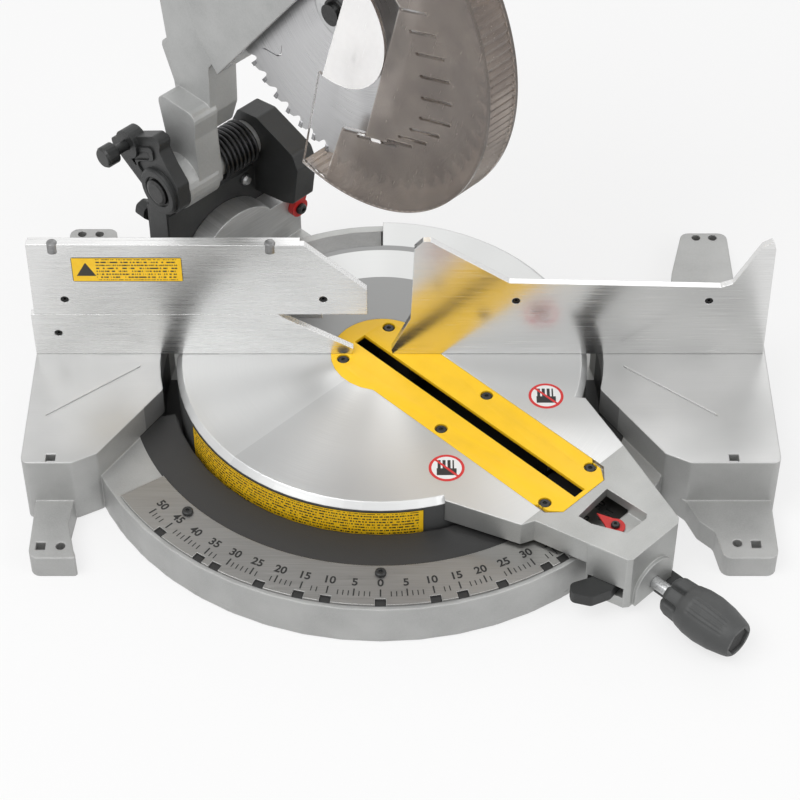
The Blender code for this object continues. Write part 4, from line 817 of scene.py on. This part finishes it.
def make_lock_knob():
    """The miter lock's grip: fluted at its root, with three ribbed panels and a recessed end."""
    sides = 144
    profile = [(0, 14), (1.5, 16), (4, 17), (15, 17.6), (18, 18.6), (26, 20.3)]
    profile += [(37, 20.9), (50, 19.6), (62, 16.8), (66.5, 15.4), (68, 14)]
    rings = []
    for along in range(69):
        (a0, r0), (a1, r1) = next(ends for ends in zip(profile, profile[1:]) if along <= ends[1][0])
        reach = r0 + (r1 - r0) * (along - a0) / (a1 - a0)
        ring = []
        for i in range(sides):
            angle = TAU * i / sides
            cut = 0.0
            if along < 17:
                flute = max(0.0, math.cos(angle * 7)) ** 3
                cut = 4.2 * flute * min(1, (17 - along) / 2.5)
            if 24 < along < 60:
                panel = max(0.0, min(1.0, (math.cos(angle * 3) - 0.35) * 6))
                fade = min(1, (along - 24) / 3, (60 - along) / 3)
                cut += panel * fade * (0.5 + 0.55 * (0.5 + 0.5 * math.cos(angle * 36)))
            ring.append(((reach - cut) * math.cos(angle), (reach - cut) * math.sin(angle), along))
        rings.append(ring)
    rings += [ring_of(hexagon(12.3984), 68, sides), ring_of(hexagon(11.7936), 65.5, sides)]
    bm = lofted(rings)
    bm.transform(frame_along(LOCK_KNOB, FORWARD))
    rubber = plastic("lock_knob_rubber", TURNED, CHARCOAL, 0.5, 1.3, 0.14)
    piece("lock_knob_grip", bm, TURNED, "miter_lock", rubber, ("miter_lock_knob",))
    cap = plate([rounded(circle((0, 0), 11.6, 6), 2)], 65.4, 66.2)
    cap.transform(frame_along(LOCK_KNOB, FORWARD))
    black = plastic("lock_knob_end_black", TURNED, (0.008, 0.008, 0.008), 0.6)
    piece("lock_knob_end", cap, TURNED, "miter_lock", black)


def make_spring():
    """The chop spring as a smooth coil."""
    turns, points, radius, wire_radius = 8, 32, 19.0, 1.9
    centres = []
    for i in range(turns * points + 1):
        angle = TAU * i / points
        along = -4.5 + 38.0 * i / (turns * points)
        centres.append(Vector((along, CHOP[1] + radius * math.cos(angle), CHOP[2] + radius * math.sin(angle))))
    rings = []
    for i, centre in enumerate(centres):
        tangent = (centres[min(i + 1, len(centres) - 1)] - centres[max(i - 1, 0)]).normalized()
        side = Vector((1, 0, 0)).cross(tangent).normalized()
        top = tangent.cross(side)
        spokes = [(side * math.cos(TAU * k / 10) + top * math.sin(TAU * k / 10)) * wire_radius for k in range(10)]
        rings.append([centre + spoke for spoke in spokes])
    wire = plain_steel("spring_wire", TURNED, (0.05, 0.05, 0.052), 0.3)
    piece("chop_spring_coil", lofted(rings), TURNED, "bevel_support", wire, ("chop_spring",))


def on_blade(radius, degrees):
    angle = math.radians(degrees)
    return (ARBOR[1] - radius * math.cos(angle), ARBOR[2] + radius * math.sin(angle))


def blade_arc(radius, start, end, steps):
    return [on_blade(radius, start + (end - start) * step / steps) for step in range(steps + 1)]


def make_blade():
    """The blade with hooked teeth, carbide tips and expansion slots."""
    teeth = 60
    pitch = 360 / teeth
    # Each point is a radius and a share of the pitch.
    hook = ((150.6, 0), (151.2, 0.12), (148.6, 0.5), (142.8, 0.74), (141.6, 0.86), (143.2, 0.95))
    carbide_tip = ((152.2, -0.02), (151.4, 0.2), (145.6, 0.15), (145.2, -0.03))
    outline, tips = [], []
    for tooth in range(teeth):
        start = pitch * tooth
        outline += [on_blade(radius, start + pitch * share) for radius, share in hook]
        tip = [on_blade(radius, start + pitch * share) for radius, share in carbide_tip]
        tips.append(plate([tip], -1.5, 1.5, "YZ"))
    slots = []
    for number in range(5):
        start = 72 * number + 30
        curl = [on_blade(100 + i * 4.5, start + 3 * math.sin(i * 0.75)) for i in range(7)]
        back = [on_blade(100 + i * 4.5, start + 3 * math.sin(i * 0.75) + 0.7) for i in range(6, -1, -1)]
        slots.append(curl + back)
    hole = circle(ARBOR[1:], 8.3, 40)
    disc = plate([outline, hole] + slots, -1.0, 1.0, "YZ")
    steel = spun_metal("blade_steel", HEAD, ARBOR, (0.60, 0.60, 0.61), 0.26)
    piece("blade_disc", disc, HEAD, "blade", steel, ("blade",))
    carbide = plain_steel("blade_carbide", HEAD, (0.42, 0.42, 0.43), 0.22)
    piece("blade_tips", joined(*tips), HEAD, "blade", carbide)


def make_lower_guard():
    """The smoky guard: two slotted sides and a ribbed rim."""
    inner, outer = 13.0, 15.5
    slots = []
    for number in range(13):
        at = 30 + number * 9.5
        reach = 118 - 3.2 * abs(number - 6)
        middle = Vector(on_blade(reach, at))
        along, across = Vector((0.55, 0.835)), Vector((0.835, -0.55))
        half, width = 17 - 0.6 * abs(number - 6), 1.5
        corners = [middle - along * half - across * width, middle + along * half - across * width]
        corners += [middle + along * half + across * width, middle - along * half + across * width]
        slots.append(rounded([tuple(c) for c in corners], 1.3, 3))
    side = blade_arc(165, 3, 173, 96) + blade_arc(60, 173, 3, 40)
    rim = []
    ridges = 72
    for i in range(ridges * 2):
        degrees = 3 + 170 * i / (ridges * 2)
        rim.append(on_blade(165 if i % 2 else 163.6, degrees))
    rim += blade_arc(162.3, 173, 3, 96)
    ring = [circle(ARBOR[1:], 64, 64), circle(ARBOR[1:], 31.3, 48)]
    bm = joined(
        plate([side] + slots, -outer, -inner, "YZ"),
        plate([side] + slots, inner, outer, "YZ"),
        plate([rim], -inner + 0.02, inner - 0.02, "YZ"),
        plate(ring, inner + 0.02, outer - 0.02, "YZ"),
    )
    piece("lower_guard_shell", bm, GUARD, "lower_guard", smoky("guard_smoke", GUARD), ("lower_guard",))


def make_handles():
    rubber = plastic("handle_rubber", HEAD, (0.022, 0.023, 0.023), 0.55, 0.8, 0.3)
    back = -205.3
    outline = [(back, 312), (-245, 326), (-312, 310), (-342, 272), (-338, 226)]
    outline += [(-308, 196), (-262, 196), (-238, 232), (back, 258)]
    hole = [(-228, 296), (-284, 294), (-312, 270), (-310, 232), (-290, 214), (-264, 214), (-246, 240), (-232, 266)]
    for side, low, high in (("left", -17, -0.15), ("right", 0.15, 17)):
        bm = plate([rounded(outline, 16, 8), rounded(hole, 9, 8)], low, high, "YZ")
        far = low if side == "left" else high
        rim = [e for e in bm.edges if all(abs(v.co.x - far) < 0.01 for v in e.verts)]
        bmesh.ops.bevel(bm, geom=rim, offset=7, segments=5, affect="EDGES", profile=0.5, clamp_overlap=True)
        piece(f"handle_grip_{side}", bm, HEAD, "head", rubber, (f"handle_{side}",))
    grip = blade_arc(228, 79, 124, 30) + blade_arc(176.3, 124, 79, 30)
    gap = blade_arc(212, 85, 118, 24) + blade_arc(185, 118, 85, 24)
    carry = plate([rounded(grip, 5), rounded(gap, 5)], -9.5, 9.5, "YZ")
    piece("carry_grip", carry, HEAD, "head", rubber, ("carry_handle",), 3.5, 4, 50)


def make_motor():
    """The motor's yellow housing with cooling slots, ribs and seams."""
    centre = (-70, 172)
    start, end, radius, sides = 60.3, 205.0, 49.0, 180
    length = end - start
    stations = [0, 1.5, 4, 10, 12, 14] + [16 + i * 2.0 for i in range(60)] + [138, 141, 143.2, length]
    rings = []
    for along in stations:
        reach = radius - max(0, 1.5 - along) - max(0, along - (length - 1.5))
        ring = []
        for i in range(sides):
            angle = TAU * i / sides
            cut = 0.0
            if 92 < along < 134 and math.cos(angle * 24) > 0.1 and abs(math.sin(angle)) > 0.25:
                cut = 3.0
            if 10 <= along <= 14:
                cut = 1.2
            spoke = reach - cut
            ring.append((along + start, centre[0] + spoke * math.cos(angle), centre[1] + spoke * math.sin(angle)))
        rings.append(ring)
    yellow = plastic("motor_yellow", HEAD, YELLOW, 0.42, 0.8, 0.08, 0.94)
    piece("motor_shell", lofted(rings), HEAD, "head", yellow, ("motor_housing",))


def make_fence_details():
    steel = plain_steel("fence_pin_steel", TABLE, (0.3, 0.3, 0.3), 0.35)
    for number, x in enumerate((-266, -90), 1):
        pin = turned([(3, 114), (4.6, 114.2), (4.6, 122.5), (4.0, 123.6), (3, 124)], (x, 2.5, 0), UPWARD, 28)
        piece(f"fence_pin_{number}", pin, TABLE, "fence_slide", steel)
    # Painted shade: dark domed shapes, drawn as socket screws, fill the holes in the fences and the base.
    dark = plain_steel("fence_hole_shade_dark", TABLE, (0.05, 0.05, 0.05), 0.4)
    holes = [(111, 61, "base"), (270, 61, "base"), (-261, 62.8, "fence_slide")]
    holes += [(-48, 62.8, "fence_slide"), (-270, 24.5, "base")]
    for number, (x, z, body) in enumerate(holes, 1):
        socket_screw(f"fence_hole_shade_{number}", (x, 5.0, z), FORWARD, 3.4, 4.2, body, dark, None, TABLE)


def make_cheek_details():
    """The raised rings and ribs on the outer face of the left cheek."""
    black = plastic("cheek_black", TURNED, SUPPORT, 0.42, 0.7, 0.2)
    outline = [(207, 140), (250, 117), (252, 113), (221, 92), (218, 100), (231, 112), (206, 126)]
    hollow = [(212, 133), (238, 118), (240, 114), (228, 106), (232, 113), (212, 124)]
    rim = plate([rounded(outline, 5), rounded(hollow, 3)], -63.6, -61.95, "YZ")
    piece("cheek_rim", rim, TURNED, "bevel_support", black, (), 0.5, 2)
    profile = [(14.0, 0), (14.0, 1.2), (15.0, 2.0), (20.0, 2.0), (21.6, 0.6), (21.6, 0)]
    ring = turned(profile, (-63.95, *CHOP[1:]), (-1, 0, 0), 64)
    piece("cheek_ring", ring, TURNED, "bevel_support", black)


def finish_nodes():
    """Gives every CAD node that stays its material."""
    table_places = {
        "base_casting": base_metal("base_cast"),
        "fence_right": brushed_metal("fence_right_brushed", TABLE, FENCE, 0.2),
        "fence_left_rail": brushed_metal("fence_rail_brushed", TABLE, FENCE, 0.26),
        "fence_left_slide": brushed_metal("fence_slide_brushed", TABLE, FENCE, 0.26),
        "fence_clamp_knob": plastic("clamp_knob_black", TABLE, BLACK),
        "miter_pivot_bolt": plain_steel("pivot_bolt_steel", TABLE),
    }
    for side in ("left", "right"):
        for number in (1, 2):
            node = f"fence_bolt_{side}_{number}"
            table_places[node] = plain_steel(node + "_zinc", TABLE)
    turned_places = {
        "turntable": turntable_metal("turntable_metal"),
        "miter_pointer": plastic("pointer_red", TURNED, RED, 0.4),
        "miter_latch_lever": plastic("latch_black", TURNED, BLACK, 0.45),
        "detent_override_paddle": plastic("paddle_black", TURNED, BLACK, 0.45),
        "miter_lock_rod": plain_steel("lock_rod_steel", TURNED),
        "bevel_stop_pawl": plastic("pawl_red", TURNED, RED, 0.35, 0.9, 0.06),
        "bevel_pivot_pin": plain_steel("bevel_pin_steel", TURNED),
        "bevel_stop_bolt": plain_steel("stop_bolt_steel", TURNED),
        "bevel_support": plastic("support_black", TURNED, SUPPORT, 0.42, 0.7, 0.2),
        "chop_pivot_pin": plain_steel("chop_pin_dark", TURNED, (0.07, 0.07, 0.07), 0.35),
        "bevel_lock_lever": plastic("bevel_lock_black", TURNED, BLACK),
        "lock_down_pin": plastic("lock_pin_black", TURNED, BLACK, 0.35),
    }
    head_places = {
        "head_casting": cast_metal("head_cast", HEAD, (0.45, 0.455, 0.45)),
        "motor_end_cap": plastic("end_cap_black", HEAD, BLACK),
        "brush_cap_front": plastic("brush_front_black", HEAD, BLACK),
        "brush_cap_rear": plastic("brush_rear_black", HEAD, BLACK),
        "cord_gland": plastic("gland_black", HEAD, BLACK),
        "armature": plain_steel("armature_steel", HEAD),
        "trigger": plastic("trigger_yellow", HEAD, YELLOW),
        "spindle_lock_button": plastic("button_red", HEAD, RED),
        "dust_chute": plastic("chute_black", HEAD, BLACK),
        "flange_inner": spun_metal("flange_inner_steel", HEAD, ARBOR),
        "flange_outer": spun_metal("flange_outer_steel", HEAD, ARBOR),
        "arbor_shaft": plain_steel("arbor_steel", HEAD),
        "arbor_bolt": plain_steel("arbor_bolt_black", HEAD, (0.06, 0.06, 0.06)),
    }
    for places in (table_places, turned_places, head_places):
        for node, material in places.items():
            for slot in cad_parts[node].material_slots:
                slot.material = material


def make_small_screws():
    dark = plastic("small_screw_black", TURNED, BLACK, 0.3)
    heads = (
        ("pointer", (1, -261.5, -9.9), UPWARD, 3.6, 2.8),
        ("pawl", (66, 169.3, 18), FORWARD, 5.2, 3.6),
    )
    for name, place, direction, radius, height in heads:
        screw = (place, direction, radius, height, "turntable", dark, f"{name}_screw", TURNED, "black")
        socket_screw(f"{name}_screw_head", *screw)


def make_rear_band():
    """The floor of the shallow step at the back edge of the turntable."""
    start, end = math.radians(45.5), math.radians(134.5)
    band = arc((0, 0), 134, start, end, 40) + arc((0, 0), 167, end, start, 40)
    metal = cast_metal("rear_band_cast", TURNED, (0.3, 0.302, 0.298))
    piece("rear_band_floor", plate([band], -10.2, -9.05), TURNED, "turntable", metal)


make_studio()
finish_nodes()
make_rear_band()
make_kerf_plate()
make_scale()
make_labels()
make_lock_knob()
make_small_screws()
make_spring()
make_blade()
make_lower_guard()
make_handles()
make_motor()
make_fence_details()
make_cheek_details()

bpy.context.view_layer.update()
